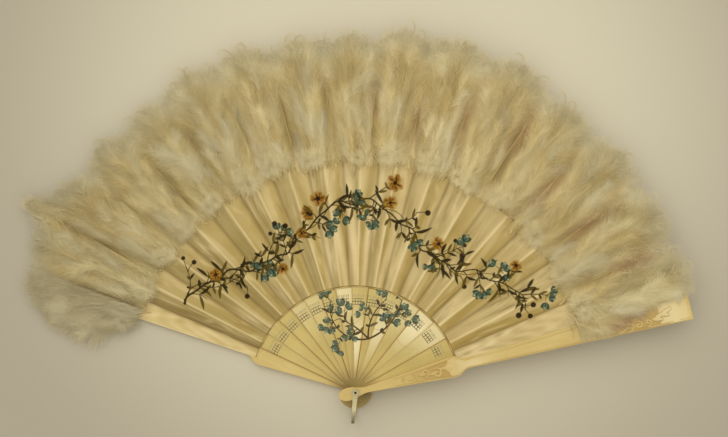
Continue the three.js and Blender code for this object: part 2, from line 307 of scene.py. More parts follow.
# %% [markdown]
# ## A few formulas
# Nearly every shape and tint below is made of these. `step` rises smoothly from 0 to 1, and `hump` falls off
# on both sides of 0. `between` goes by a share from one number or colour to another.

# %% Formulas for shapes and tints


def step(value, low, high):
    share = np.clip((value - low) / (high - low), 0, 1)
    return share * share * (3 - 2 * share)


def hump(distance, width):
    return np.exp(-((distance / width) ** 2))


def swell(turn, at, width):
    """A hump round an angle. The angle and the width are in degrees, and the turn is in radians."""
    return hump(math.degrees(turn) - at, width)


def between(first, second, share):
    return first + (second - first) * share


def polar(reach, turn):
    """Where a point lies that is so far from the rivet, in one direction."""
    return reach * np.cos(turn), reach * np.sin(turn)


print("half a step up is", step(0.5, 0, 1), "and one width off a hump is", hump(1.0, 1.0).round(2))

# %% [markdown]
# ## The board
# The fan lies on a pale board that belongs to the stage, not to the fan. One large square is enough for it.
# A painted pool of light makes the board palest where the fan lies, and it dims slowly outwards. The grain of
# paper lies over it.

# %% Make the board
BOARD_HALF = 4000.0
BOARD_PALE = colour(224, 214, 184)
BOARD_DIM = colour(175, 165, 141)
BOARD_LIGHT_POOL = (36.0, 250.0, 0.0)
BOARD_NEAR = 140.0
BOARD_FAR = 450.0
board = bpy.data.meshes.new("board")
edge = BOARD_HALF * MM
outline = [(-edge, -edge, 0), (edge, -edge, 0), (edge, edge, 0), (-edge, edge, 0)]
board.from_pydata(outline, [], [(0, 1, 2, 3)])
board_piece = bpy.data.objects.new("board", board)
bpy.context.collection.objects.link(board_piece)
paper = Finish("pale_paper", Roughness=0.9)
paper_grain = paper.noise(paper.place(), 900.0) * 0.1
# painted pool of light: palest round one point near the fan, dimming outwards
sockets = {0: paper.place(), 1: tuple(part * MM for part in BOARD_LIGHT_POOL)}
away = paper.node("ShaderNodeVectorMath", {"operation": "DISTANCE"}, sockets, out="Value")
light_pool_falloff = paper.band(away, BOARD_NEAR * MM, BOARD_FAR * MM)
paper.feed(Base_Color=paper.mix(light_pool_falloff * 0.9 + paper_grain, rgba(BOARD_PALE), rgba(BOARD_DIM)))
board.materials.append(paper.material)
print("board", 2 * BOARD_HALF, "mm wide")

# %% [markdown]
# ## Bone
# The sticks are sawn from bone and polished. Bone is a warm yellow with fine streaks along its length.
# It lightens in soft blotches and keeps a low shine. Round the rivet, the heads that lie under the front
# guard are darkened with painted shade.
# The streaks follow the stick, so each stick has its own finish, turned by its own angle.
# Where a face is painted, the colour held by the mesh goes over the bone.

# %% Make the bone finishes
BONE_LIGHT = colour(214, 191, 112)
BONE_DEEP = colour(188, 163, 86)
BONE_HIGHLIGHT = colour(246, 230, 178)
HEAD_SHADE_COLOUR = colour(128, 100, 44)
HEAD_SHADE_FROM = 30.0
HEAD_SHADE_FULL = 10.0
HEAD_SHADE_AMOUNT = 0.6
GUARD_LIGHT = colour(220, 195, 121)
GUARD_DEEP = colour(203, 172, 98)
STREAKS = (14.0, 300.0, 300.0)
BLOTCHES = (25.0, 60.0, 60.0)


def bone(name, turn, light, deep, painted=False, head_shade=0.0):
    finish = Finish(name, Specular_IOR_Level=0.28, Coat_Weight=0.2, Coat_Roughness=0.25)
    streak = finish.noise(finish.place(turn, STREAKS), 4.0, 4.0)
    blotch = finish.noise(finish.place(turn, BLOTCHES), 1.0)
    shade = finish.band(streak * 0.4 + blotch * 0.6, 0.2, 0.8)
    base = finish.mix(shade, rgba(deep), rgba(light))
    # painted shade: darker round the rivet, where the heads lie under the front guard
    head_shading = finish.band(finish.from_axis(), HEAD_SHADE_FROM * MM, HEAD_SHADE_FULL * MM) * head_shade
    base = finish.mix(head_shading, base, rgba(HEAD_SHADE_COLOUR))
    gloss = 0.3 + streak * 0.16
    if painted:
        cover = finish.attribute("Paint", "Alpha")
        base = finish.mix(cover, base, finish.attribute("Paint"))
        gloss = gloss + cover * 0.2
        finish.feed(Coat_Weight=0.2 - cover * 0.2)
    finish.feed(Base_Color=base, Roughness=gloss)
    finish.bump(streak, 0.00004, 0.6)
    return finish.material


def dress(node, material):
    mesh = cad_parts[node].data
    mesh.materials.clear()
    mesh.materials.append(material)


for node, angle in zip(MEMBERS, ANGLES):
    guard = node.endswith("guard")
    light, deep = (GUARD_LIGHT, GUARD_DEEP) if guard else (BONE_LIGHT, BONE_DEEP)
    # the front guard lies on top, so it gets no painted shade round the rivet
    head_shade = 0.0 if node == "front_guard" else HEAD_SHADE_AMOUNT
    dress(node, bone("bone_" + node, angle, light, deep, head_shade=head_shade))
print("bone on", len(MEMBERS), "pieces")

# %% [markdown]
# ## Brass
# Rivet and bail are thin brass that has dulled. Rubbed places stay bright,
# and the bow of the bail has gone dark and green.
# A noise decides between bright and dull, and a band along the bail brings in the green.
# The finish darkens towards the axis, in the dimple of the rivet.

# %% Make the brass finish
BRASS_DULL = colour(190, 176, 126)
BRASS_BRIGHT = colour(208, 196, 150)
VERDIGRIS = colour(70, 72, 44)
AXIS_DARK = colour(60, 44, 20)


def brass(name, tarnish_from, tarnish_to, dark_radius):
    finish = Finish(name)
    where = finish.place()
    wear = finish.band(finish.noise(where, 160.0, 2.0), 0.3, 0.7)
    metal = finish.mix(wear, rgba(BRASS_DULL), rgba(BRASS_BRIGHT))
    lowness = finish.node("ShaderNodeSeparateXYZ", {}, {0: where}, out="Y")
    green = finish.band(lowness, tarnish_from * MM, tarnish_to * MM) * 0.75
    tarnished = finish.mix(green, metal, rgba(VERDIGRIS))
    # darker towards the axis of the rivet
    axis_darkening = finish.band(finish.from_axis(), dark_radius * MM, dark_radius * MM * 0.6)
    finish.feed(Base_Color=finish.mix(axis_darkening, tarnished, rgba(AXIS_DARK)))
    finish.feed(Metallic=0.75 - green * 0.4, Roughness=0.5 - wear * 0.1)
    finish.bump(finish.noise(where, 1500.0), 0.00003)
    return finish.material


dress("bail", brass("bail_brass", -14.0, -31.0, 2.2))
dress("rivet", brass("rivet_brass", -40.0, -60.0, 1.5))
print("brass on bail and rivet")

# %% [markdown]
# ## Painting by formula
# A brush stroke is a shape with a soft edge. A petal is an ellipse, a leaf is a spindle and a stem is a line.
# `Canvas` holds points on the open fan and their colours. Each stroke changes only the points that it covers.
# The same strokes paint the silk and the bone, so both pictures look made by one hand.

# %% Brush strokes
SOFT_EDGE = 0.6
FIRM = 0.97


class Canvas:
    def __init__(self, x, y, ground):
        self.x = x
        self.y = y
        self.shade = np.array(ground, float)
        self.cover = np.zeros(len(x))

    def near(self, x, y, size):
        return np.nonzero((abs(self.x - x) < size) & (abs(self.y - y) < size))[0]

    def lay(self, index, mask, shade):
        self.shade[index] = between(self.shade[index], shade, mask[:, None])
        self.cover[index] = np.maximum(self.cover[index], mask)

    def petal(self, x, y, turn, length, width, shade, strength=0.96):
        """An ellipse that starts at x, y and points along turn."""
        index = self.near(x, y, length + 2)
        across, along = self.y[index] - y, self.x[index] - x
        u = (along * math.cos(turn) + across * math.sin(turn)) / length - 0.5
        v = (across * math.cos(turn) - along * math.sin(turn)) / width
        edge = SOFT_EDGE / width
        self.lay(index, strength * step(0.5 - np.hypot(u, v), -edge / 2, edge / 2), shade)

    def leaf(self, x, y, turn, length, width, bend, shade):
        """A spindle that starts at x, y, points along turn and curves to one side."""
        index = self.near(x, y, length + 2)
        across, along = self.y[index] - y, self.x[index] - x
        u = (along * math.cos(turn) + across * math.sin(turn)) / length
        v = across * math.cos(turn) - along * math.sin(turn) - bend * length * u * u
        half = 0.5 * width * np.sin(np.pi * np.clip(u, 0, 1)) ** 0.8
        inside = (u > 0) & (u < 1)
        self.lay(index, FIRM * inside * step(half - abs(v), -SOFT_EDGE / 2, SOFT_EDGE / 2), shade)

    def stem(self, line, width, shade):
        """A line through points, thinner towards its end."""
        parts = len(line) - 1
        for i, (start, end) in enumerate(zip(line[:-1], line[1:])):
            middle, run = (start + end) / 2, end - start
            size = math.hypot(*run)
            index = self.near(*middle, size / 2 + width + 1)
            offset = np.stack([self.x[index] - start[0], self.y[index] - start[1]], axis=1)
            share = np.clip(offset @ run / size**2, 0, 1)
            away = np.hypot(*(offset - share[:, None] * run).T)
            half = 0.5 * width * (1 - 0.5 * (i + share) / parts)
            self.lay(index, FIRM * step(half - away, -SOFT_EDGE / 2, SOFT_EDGE / 2), shade)

    def dot(self, x, y, size, shade):
        self.petal(x - size / 2, y, 0.0, size, size, shade)

    def painted(self):
        return np.concatenate([self.shade, self.cover[:, None]], axis=1)


print("a stroke's edge is", SOFT_EDGE, "mm soft")

# %% [markdown]
# ## Stalks and leaves
# Strokes add up to plants. A stalk is a bent line, and its last run says which way a flower on it looks.
# The paint is old and thin, so its greens are nearly brown.

# %% Stalks and leaves
STEM = colour(50, 37, 3)
LEAF_DARK = colour(44, 35, 3)
LEAF_LIGHT = colour(92, 75, 15)


def bend(start, turn, length, curl, points=7):
    """Points along an arc that leaves start along turn and turns by curl over its length."""
    headings = turn + curl * np.linspace(0, 1, points - 1)
    steps = np.stack([np.cos(headings), np.sin(headings)], axis=1) * length / (points - 1)
    return np.concatenate([[start], start + np.cumsum(steps, axis=0)])


def heading(line):
    run = line[-1] - line[-2]
    return math.atan2(run[1], run[0])


def leafy(canvas, draw, line, every, length, width):
    """Leaves on both sides of a line, dark and light by turns, none quite like the next."""
    for i in range(every, len(line) - 1, every):
        turn = heading(line[: i + 2])
        for side in (-1, 1):
            shade = LEAF_DARK if (i // every + side) % 3 else LEAF_LIGHT
            size = length * draw.uniform(0.4, 1.3)
            curve = side * draw.uniform(-0.2, 0.5)
            canvas.leaf(*line[i], turn + side * draw.uniform(0.3, 1.1), size, width, curve, shade)


print("a stalk of 7 points ends at", bend(np.zeros(2), 0.0, 10.0, 1.0)[-1].round(1))

# %% [markdown]
# ## Flowers and berries
# Bells, open roses and berries are small groups of strokes. Their blues and browns are as dull as the leaves,
# and a seeded draw keeps any two from being alike.

# %% Flowers and berries
BLUE_DEEP = colour(46, 66, 52)
BLUE_PALE = colour(102, 118, 90)
WHITE = colour(198, 188, 134)
OCHRE = colour(146, 98, 12)
OCHRE_PALE = colour(170, 126, 40)
OCHRE_DEEP = colour(86, 48, 4)
BERRY = colour(36, 18, 4)
ROSE_PETALS = 7


def bellflower(canvas, x, y, turn, size):
    """A blue bell on its stalk: three lobes that open away from the stalk, and a white throat."""
    for side in (-1, 1):
        canvas.leaf(x, y, turn + side * 1.1, size * 0.5, size * 0.2, 0.0, LEAF_DARK)
        canvas.petal(x, y, turn + side * 0.6, size, size * 0.6, BLUE_DEEP)
    canvas.petal(x, y, turn, size * 1.1, size * 0.62, BLUE_PALE)
    canvas.petal(x, y, turn, size * 0.6, size * 0.25, BLUE_DEEP, 0.7)
    canvas.dot(x + size * 0.8 * math.cos(turn), y + size * 0.8 * math.sin(turn), size * 0.2, WHITE)


def bells(canvas, draw, x, y, turn, size):
    """A few bells on short threads from one point, the middle one in front."""
    for lean in (-1.6, 1.4, -0.7, 0.6, 0.0):
        if lean and draw.uniform() < 0.3:
            continue
        thread = bend(np.array([x, y]), turn + lean, size * draw.uniform(0.1, 1.3), 0.3, 3)
        canvas.stem(thread, 0.7, LEAF_LIGHT)
        bellflower(canvas, *thread[-1], turn + lean + draw.normal(0, 0.4), size * draw.uniform(0.75, 1.1))


def wild_rose(canvas, draw, x, y, turn, size):
    """An ochre flower: a soft wash, uneven petals in two browns and a dark eye."""
    canvas.petal(x - 0.55 * size, y, 0.0, 1.1 * size, 1.1 * size, OCHRE_PALE, 0.35)
    for i in range(ROSE_PETALS):
        along = turn + i * math.tau / ROSE_PETALS + draw.normal(0, 0.15)
        long = size * draw.uniform(0.42, 0.6)
        canvas.petal(x, y, along, long, size * 0.34, OCHRE_PALE if i % 3 == 0 else OCHRE, 0.8)
        canvas.leaf(x, y, along, long * 0.8, size * 0.12, 0.1, OCHRE_DEEP)
    canvas.dot(x, y, size * draw.uniform(0.22, 0.34), BERRY)


def berries(canvas, draw, x, y, turn, size):
    for i in (-1, 0, 1)[: draw.integers(1, 4)]:
        stalk = bend(np.array([x, y]), turn + i * 0.7, size * (0.8 + 0.2 * (i == 0)), 0.4 * i, 4)
        canvas.stem(stalk, 0.9, STEM)
        canvas.dot(*stalk[-1], size * draw.uniform(0.22, 0.42), BERRY)


print("a rose has", ROSE_PETALS, "petals")

# %% [markdown]
# ## The silk leaf
# The leaf is one strip of silk, pleated so that each stick carries a glued panel and a free panel links it to
# the next stick. A flat disc with painted stripes would be quicker, but it couldn't fold. So each pleat is
# its own grid: the glued panel falls to the right and the free panel climbs again.

# %% Sizes of the leaf
LEAF_REACH = np.hypot(*corners("leaf_pleat_01")[:, :2].T)
LEAF_INNER = LEAF_REACH.min() - 0.5
LEAF_OUTER = LEAF_REACH.max()
SHOULDER_GAP = 0.4
GORGE_REACH = LEAF_INNER - SHOULDER_GAP
TWIST_LENGTH = 7.0
STICK_THICKNESS = 0.85
RIB_THICKNESS = 0.5
LEAF_LIFT = 0.45
HALF_PANEL = math.radians(4.7) / 2
PLEAT_SLOPE = 0.22
TUCK = math.radians(0.8)
LEAF_ROWS = 290
GLUED_COLUMNS = 34
FREE_COLUMNS = 34


def glued_height(member, reach, turn):
    if member == 0:
        return REAR_BLADE_TOP + LEAF_LIFT + 0 * turn * reach
    if member == FRONT:
        return FRONT_BLADE_BOTTOM - LEAF_LIFT + 0 * turn * reach
    twist = step(reach, GORGE_REACH, GORGE_REACH + TWIST_LENGTH)
    rib_top = between(STICK_THICKNESS, RIB_THICKNESS, twist)
    return BOTTOMS[member] + rib_top + LEAF_LIFT + PLEAT_SLOPE * twist * reach * np.tan(turn)


def pleat_grid(member):
    """Reach, turn, height and free share of every point of one pleat, as arrays of rows and columns."""
    reach = np.linspace(LEAF_INNER, LEAF_OUTER, LEAF_ROWS)[:, None]
    last = member == LAST_STICK
    gap = ANGLES[member] - ANGLES[member + 1]
    landing = HALF_PANEL - TUCK if last else HALF_PANEL
    glued = np.linspace(HALF_PANEL, -HALF_PANEL, GLUED_COLUMNS)[None, :]
    share = np.linspace(0, 1, FREE_COLUMNS)[None, 1:]
    free = -HALF_PANEL - share * (gap - HALF_PANEL - landing)
    start = glued_height(member, reach, -HALF_PANEL)
    end = glued_height(member + 1, reach, HALF_PANEL)
    climb = start + (end - start - STICK_PITCH) * share + STICK_PITCH * share**3
    height = np.concatenate([glued_height(member, reach, glued), climb], axis=1)
    turn = np.concatenate([glued, free], axis=1) + 0 * reach
    shares = np.concatenate([0 * glued, share], axis=1) + 0 * reach
    return reach + 0 * turn, turn, height, shares


print("pleats:", LAST_STICK + 1, "of", LEAF_ROWS, "rows")

# %% [markdown]
# ## The ground of the picture
# Bare silk isn't of one colour, and its pleats take the light unevenly. A pleat has a lit and a shaded panel,
# a ridge, a crease and crushed places, all painted in as light and shade. So the ground is a pile of thin
# washes: each is a colour and how much of it lies on every point.

# %% Wash the silk
SILK_GLUED_LIT = colour(202, 178, 110)
SILK_GLUED_SHADED = colour(182, 155, 86)
SILK_SHADED = colour(162, 140, 81)
SILK_FREE_LIT = colour(196, 173, 113)
SILK_HIGHLIGHT_AND_PALE = colour(236, 213, 156)
SILK_CREASE_SHADE = colour(118, 93, 46)
OUTER_LINE = colour(146, 98, 60)
INNER_LINE = colour(160, 128, 72)
OUTER_WIDTH = 0.8
INNER_WIDTH = 0.5


def silk_ground(reach, turn, shares, member):
    """The bare silk, with light and shade painted in: glued panels are painted lit at the left of the fan,
    free panels at the right.
    Pulls run through the free panels and the satin is a little crushed, both painted light and dark; ridges
    and the middle get painted highlights, valleys painted shade."""
    degrees = math.degrees(ANGLES[member])
    free = shares > 0
    # painted light: lit and shaded copies of the silk for glued and free panels, swapping from left to right
    side = 0.5 + 0.5 * math.cos(ANGLES[member])
    glued = between(SILK_GLUED_LIT, SILK_GLUED_SHADED, side)
    if member > 0:
        glued = between(glued, SILK_SHADED, 0.5 * step(degrees, 108, 138))
    loose = between(SILK_SHADED, SILK_FREE_LIT, side)
    ground = np.where(free[:, None], loose, glued)

    across = (HALF_PANEL - turn) / (2 * HALF_PANEL)
    faint = 0.5 + 0.5 * np.sin(reach * 0.045 + member * 2.9)
    pull = np.sin(shares * 12 + 2.4 * np.sin(reach * 0.035 + member * 1.3) + member * 1.7)
    fine = np.sin(shares * 31 + 3 * np.sin(reach * 0.06 + member * 0.7))
    pull_shade = 0.22 + 0.3 * step(52 - degrees, 0, 20)
    fold = np.sin(across * 5 + 1.6 * np.sin(reach * 0.03 + member * 2.1) + member * 2.7)
    painted_highlight = hump(reach - 124, 18) * (0.5 + 0.5 * math.sin(member * 2.2))
    centre_highlight = swell(ANGLES[member], 90, 19) * hump(reach - 158, 62)
    bent = across * 4 + reach * 0.05
    crinkle = np.sin(reach * 0.21 + 2 * np.sin(bent)) * np.sin(across * 6 - reach * 0.083)
    ripple = 1.4 * np.sin(reach * 0.11 - across * 3 + member)
    slant = np.sin(across * 9 + reach * 0.045 + member * 1.9 + ripple)
    crush = slant * (0.6 + 0.4 * crinkle) * (0.5 + 0.5 * np.sin(reach * 0.052 + member * 2.3))
    end_panel = ~free if member == 0 else free * (member == LAST_STICK)
    valley = hump((turn + HALF_PANEL) * reach, 1.6)
    ridge = hump((turn - HALF_PANEL) * reach, 0.8) + hump(1 - shares, 0.1) * free
    # painted light and shade: highlights on ridges, folds, crushes and the middle of the leaf; shade in
    # valleys, creases and the first free panel; the end panels are paler with painted highlights, and the
    # outer band is paler silk
    washes = [
        (SILK_GLUED_SHADED, 0.5 * np.clip(across, 0, 1) * ~free),
        (SILK_HIGHLIGHT_AND_PALE, free * faint * (0.24 * step(pull, 0.3, 1.0) + 0.08 * fine)),
        (SILK_CREASE_SHADE, free * faint * (pull_shade * step(-pull, 0.4, 1.0) - 0.07 * fine)),
        (SILK_HIGHLIGHT_AND_PALE, 0.34 * ~free * step(fold, 0.2, 1.0) * (1.1 - faint)),
        (SILK_CREASE_SHADE, 0.2 * ~free * step(-fold, 0.3, 1.0) * faint),
        (SILK_HIGHLIGHT_AND_PALE, 0.5 * painted_highlight * free + centre_highlight * (0.45 + 0.5 * fold)),
        (SILK_HIGHLIGHT_AND_PALE, 0.14 * step(reach, 178, 198)),
        (SILK_HIGHLIGHT_AND_PALE, 0.3 * step(crush, 0.2, 0.8)),
        (SILK_CREASE_SHADE, 0.22 * step(-crush, 0.2, 0.8)),
        (SILK_HIGHLIGHT_AND_PALE, end_panel * (0.4 + 0.3 * crinkle)),
        (SILK_CREASE_SHADE, 0.5 * free * (member == 0) * step(0.6 - shares, 0, 0.4)),
        (SILK_CREASE_SHADE, 0.45 * valley),
        (SILK_HIGHLIGHT_AND_PALE, 0.8 * ridge),
        (OUTER_LINE, 1.0 * (reach > LEAF_OUTER - OUTER_WIDTH)),
        (INNER_LINE, 1.0 * (reach < LEAF_INNER + INNER_WIDTH)),
    ]
    for shade, share in washes:
        ground = between(ground, shade, np.clip(share, 0, 1)[:, None])
    return ground


print("the leaf is edged by lines of", OUTER_WIDTH, "and", INNER_WIDTH, "mm")

# %% [markdown]
# ## The garland
# A garland in two waves runs along the leaf, with bellflowers, wild roses and berries on stalks.
# It is laid out from sine waves. A seeded draw varies stalks, leaves and petals, so nothing looks stamped.

# %% Paint the garland
GARLAND_FROM = math.radians(153)
GARLAND_TO = math.radians(26)
GARLAND_REACH = 164.0
GARLAND_WAVE = 17.0
GARLAND_POINTS = 120


def garland(canvas):
    draw = np.random.default_rng(7)
    share = np.linspace(0, 1, GARLAND_POINTS)
    turn = between(GARLAND_FROM, GARLAND_TO, share)
    waver = 2.4 * np.sin(share * 61) + 1.6 * np.sin(share * 97 + 1)
    reach = GARLAND_REACH + GARLAND_WAVE * np.cos(2 * math.tau * (share - 0.5)) + waver
    vine = np.stack(polar(reach, turn), axis=1)
    twin = np.stack(polar(reach + 5 * np.sin(share * 44) - waver, turn), axis=1)
    canvas.stem(twin, 1.1, LEAF_LIGHT)
    canvas.stem(vine, 2.0, STEM)
    leafy(canvas, draw, vine, 6, 14.0, 3.4)
    flowers = (bells, wild_rose, berries, bells, berries, wild_rose, wild_rose)
    sizes = {bells: (5.5, 7.0), wild_rose: (10.0, 16.0), berries: (8.0, 14.0)}
    at = 2
    side = 1
    while at < GARLAND_POINTS - 2:
        along = heading(vine[: at + 2])
        lean = along + side * draw.uniform(0.5, 1.2)
        stalk = bend(vine[at], lean, draw.uniform(8, 30), side * draw.uniform(-0.9, 1.1))
        canvas.stem(stalk, 1.2, STEM)
        leafy(canvas, draw, stalk, 2, 9.0, 2.4)
        flower = flowers[draw.integers(len(flowers))]
        flower(canvas, draw, *stalk[-1], heading(stalk), draw.uniform(*sizes[flower]))
        lean = along - side * draw.uniform(0.3, 1.1)
        shoot = bend(vine[at + 1], lean, draw.uniform(6, 18), -side * draw.uniform(0, 2))
        canvas.stem(shoot, 1.0, STEM)
        leafy(canvas, draw, shoot, 3, 12.0, 3.0)
        at += draw.integers(2, 6)
        side = side if draw.uniform() < 0.25 else -side


print("garland spans", round(math.degrees(GARLAND_FROM - GARLAND_TO)), "degrees")

# %% [markdown]
# ## Silk
# Satin is smooth along its threads and has a soft shine. Old silk is also uneven, with faint stains.
# The weave is too fine to model, so a fine noise bumps the light, and a slow one varies the colour.

# %% Make the silk finish
SILK_STAIN = (0.9, 0.87, 0.8)


def silk():
    finish = Finish("painted_silk", Specular_IOR_Level=0.12, Sheen_Weight=0.05, Sheen_Roughness=0.4)
    where = finish.place()
    stain = finish.band(finish.noise(where, 38.0, 4.0), 0.35, 0.75)
    ground = finish.attribute("Paint")
    finish.feed(Base_Color=finish.mix(stain, ground, finish.times(ground, SILK_STAIN)))
    finish.feed(Roughness=0.4 + finish.attribute("Paint", "Alpha") * 0.25 + stain * 0.1)
    threads = finish.noise(where, 2600.0, 2.0)
    finish.bump(threads, 0.00005, 0.5)
    return finish.material


SILK = silk()


def lay_pleat(member):
    reach, turn, height, shares = (part.ravel() for part in pleat_grid(member))
    x, y = polar(reach, ANGLES[member] + turn)
    canvas = Canvas(x, y, silk_ground(reach, turn, shares, member))
    garland(canvas)
    free = np.sin(np.pi * shares)
    warp = reach * 0.12 + 2.2 * np.sin(turn * 60 + member) + 1.5 * np.sin(reach * 0.047 + member * 2)
    pucker = 0.2 * np.sin(warp) * np.sin(turn * 130 + 1.8 * np.sin(reach * 0.06)) * (0.3 + free)
    pucker = pucker * (2.0 if member == 0 else 1.0)
    pucker = pucker * step(reach, LEAF_INNER, LEAF_INNER + 6) * step(LEAF_OUTER - reach, 0, 6)
    points = np.stack([x, y, height + pucker], axis=1)
    columns = GLUED_COLUMNS + FREE_COLUMNS - 1
    made = piece_from_grid(f"silk_{member:02d}", points, columns, canvas.painted(), SILK)
    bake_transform(made)
    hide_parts(f"leaf_pleat_{member:02d}")
    area = sum(face.area for face in made.data.polygons)
    return area


leaf_area = sum(lay_pleat(member) for member in range(LAST_STICK + 1))
print("silk", round(leaf_area * 1e4), "square centimetres")

# %% [markdown]
# ## The painted gorge
# Between rivet and leaf the sticks are bare bone, drawn over with brown ink and a small spray of bellflowers.
# Ticks and windows stand on the part of a stick that its neighbour leaves free. The dots and the spray run on
# from stick to stick, so they are drawn on the open fan.

# %% Ornament of the gorge
FACE_TO = GORGE_REACH - 0.6
INK = colour(66, 50, 12)
EDGE_BROWN = colour(150, 106, 30)
EDGE_LINE = 1.15
DRAWN_REACH = 86.0
DRAWN_HALF = 5.2
TICKS = (89.6, 92.4)
TICK_PITCH = 1.6
WINDOWS = (82.4, 85.3, 88.2)
WINDOW_PITCH = 2.6
WINDOW_BAR = 0.55
PRICKED_REACH = 71.0
PRICKED_SAG = 9.0
PRICKED_DOTS = 130
PRICKED_SIZE = 0.7


def ink_lines(canvas, reach, v, half, member):
    """A brown edge, a comb of ticks and two rows of little windows, on the part of the stick that shows."""
    everywhere = np.arange(len(reach))
    shown = (ANGLES[member] - ANGLES[member + 1]) * DRAWN_REACH
    middle = half.max() - shown / 2
    edge = np.minimum(half - v, FACE_TO - reach)
    firmness = 0.8 + 0.2 * math.sin(member * 2.3)
    canvas.lay(everywhere, firmness * step(EDGE_LINE - edge, 0, 0.4), EDGE_BROWN)
    inside = abs(v - middle) < DRAWN_HALF
    comb = inside & (reach > TICKS[0]) & (reach < TICKS[1])
    teeth = np.cos((v - middle) * math.tau / TICK_PITCH)
    canvas.lay(everywhere, 0.75 * comb * step(teeth, 0.1, 0.5), INK)
    column = (v - middle) / WINDOW_PITCH
    bars = abs(column - np.round(column)) * WINDOW_PITCH
    for low, high in zip(WINDOWS[:-1], WINDOWS[1:]):
        rows = np.minimum(abs(reach - low), abs(reach - high))
        within = inside & (reach > low - 0.5) & (reach < high + 0.5)
        canvas.lay(everywhere, 0.85 * within * step(WINDOW_BAR - np.minimum(rows, bars), 0, 0.25), INK)


def pricked(canvas):
    """A swag of pricked dots from one guard to the other."""
    for turn in np.linspace(ANGLES[0], ANGLES[FRONT], PRICKED_DOTS):
        sag = PRICKED_SAG * abs(math.sin((turn - ANGLES[0]) * 7.2))
        x, y = polar(PRICKED_REACH - sag, turn)
        canvas.dot(x, y, PRICKED_SIZE, EDGE_BROWN)


print("dots in the swag:", PRICKED_DOTS)

# %% [markdown]
# ## The spray and the painted highlights
# The spray parts from one foot in the middle of the gorge. Some sticks get a painted highlight, each at a
# place of its own.

# %% Spray and painted highlights
HIGHLIGHT_SPREAD = 5.0
HIGHLIGHT_LENGTH = 24.0
STICK_HIGHLIGHTS = (
    (86, 46, 0.9), (95, 92, 0.7), (65, 62, 0.7), (55, 92, 0.5), (47, 84, 0.9), (32, 92, 0.6), (118, 96, 0.3),
)
SPRAY_FOOT = (12.0, 50.0)
SPRAY_BRANCHES = ((3.3, -1.9, 60.0), (2.3, 0.5, 34.0), (1.6, -0.9, 42.0), (0.4, 0.9, 50.0))


def spray(canvas):
    """Branches that part from one foot, set with leaves and clusters of bells."""
    draw = np.random.default_rng(11)
    for turn, curl, length in SPRAY_BRANCHES:
        branch = bend(np.array(SPRAY_FOOT), turn, length, curl, 16)
        canvas.stem(branch, 2.0, OCHRE_DEEP)
        canvas.stem(branch, 0.9, STEM)
        leafy(canvas, draw, branch, 4, 9.0, 3.0)
        for at in (6, 11, 15):
            side = -1 if at == 11 else 1
            lean = heading(branch[: at + 1]) + side * draw.uniform(0.5, 1.3)
            twig = bend(branch[at], lean, draw.uniform(5, 13), side * draw.uniform(-0.5, 1.0), 5)
            canvas.stem(twig, 1.1, STEM)
            leafy(canvas, draw, twig, 2, 7.0, 2.2)
            bells(canvas, draw, *twig[-1], heading(twig), draw.uniform(5.0, 7.5))


def painted_highlight(turn, u):
    """Where a stick gets a painted highlight: its place among the sticks, and how far from the rivet."""
    highlight_strength = 0 * u
    for at, reach, power in STICK_HIGHLIGHTS:
        if abs(math.degrees(turn) - at) < HIGHLIGHT_SPREAD:
            highlight_strength += power * hump(u - reach, HIGHLIGHT_LENGTH)
    return highlight_strength


print("the spray has", len(SPRAY_BRANCHES), "branches")

# %% [markdown]
# ## Faces that take the drawing
# Ink has no thickness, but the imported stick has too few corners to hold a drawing.
# So each stick gets a thin face of its own, laid just over the bone, with a fine grid that takes the drawing.
# Its width is read from the stick's own corners.

# %% Draw on the sticks
FACE_FROM = 13.0
FACE_LIFT = 0.03
FACE_INSET = 0.12
FACE_ROWS = 280
FACE_COLUMNS = 66
HIGHLIGHT_LIMIT = 0.9


def turned(u, v, turn):
    return u * math.cos(turn) - v * math.sin(turn), u * math.sin(turn) + v * math.cos(turn)


def half_width(node, turn, along, end, level=-math.inf):
    """Half the width of a member at distances along it, read from its corners above a level."""
    points = corners(node)
    u, v = turned(points[:, 0], points[:, 1], -turn)
    side = (v > 0) & (u > along[0] / 2) & (u < end) & (points[:, 2] > level)
    order = np.argsort(u[side])
    return np.interp(along, u[side][order], v[side][order])


def strip(along, half, columns, turn):
    """A grid of points on a member: how far along and across they lie, and where that is on the open fan."""
    u = np.repeat(along, columns)
    v = (half[:, None] * np.linspace(1, -1, columns)).ravel()
    return u, v, *turned(u, v, turn)


def face_of_stick(member):
    node, turn = MEMBERS[member], ANGLES[member]
    along = np.linspace(FACE_FROM, FACE_TO, FACE_ROWS)
    half = half_width(node, turn, along, GORGE_REACH - 0.5) - FACE_INSET
    u, v, x, y = strip(along, half, FACE_COLUMNS, turn)
    canvas = Canvas(x, y, np.tile(BONE_HIGHLIGHT, (len(x), 1)))
    # painted highlights: some sticks are painted paler along part of their length
    canvas.lay(np.arange(len(u)), np.clip(painted_highlight(turn, u), 0, HIGHLIGHT_LIMIT), BONE_HIGHLIGHT)
    pricked(canvas)
    ink_lines(canvas, np.hypot(u, v), v, np.repeat(half, FACE_COLUMNS), member)
    spray(canvas)
    points = np.stack([x, y, np.full(len(x), TOPS[member] + FACE_LIFT)], axis=1)
    finish = bone("painted_" + node, turn, BONE_LIGHT, BONE_DEEP, painted=True, head_shade=HEAD_SHADE_AMOUNT)
    made = piece_from_grid(f"gorge_face_{member:02d}", points, FACE_COLUMNS, canvas.painted(), finish)
    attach(made, node)


for member in range(1, LAST_STICK + 1):
    face_of_stick(member)
print("painted", LAST_STICK, "sticks")

# %% [markdown]
# ## The carved guard
# The front guard is thicker than a stick, so it can be carved: scrolls, leaves and a shell.
# Carving could be a bump in the material, but a bump leaves the outline flat and vanishes at an angle.
# A fine grid whose height follows the pattern gives real relief. First come the forms, as heights up to 1.
# u is the distance from the rivet along the guard, and v the distance across it.

# %% Forms of the carving


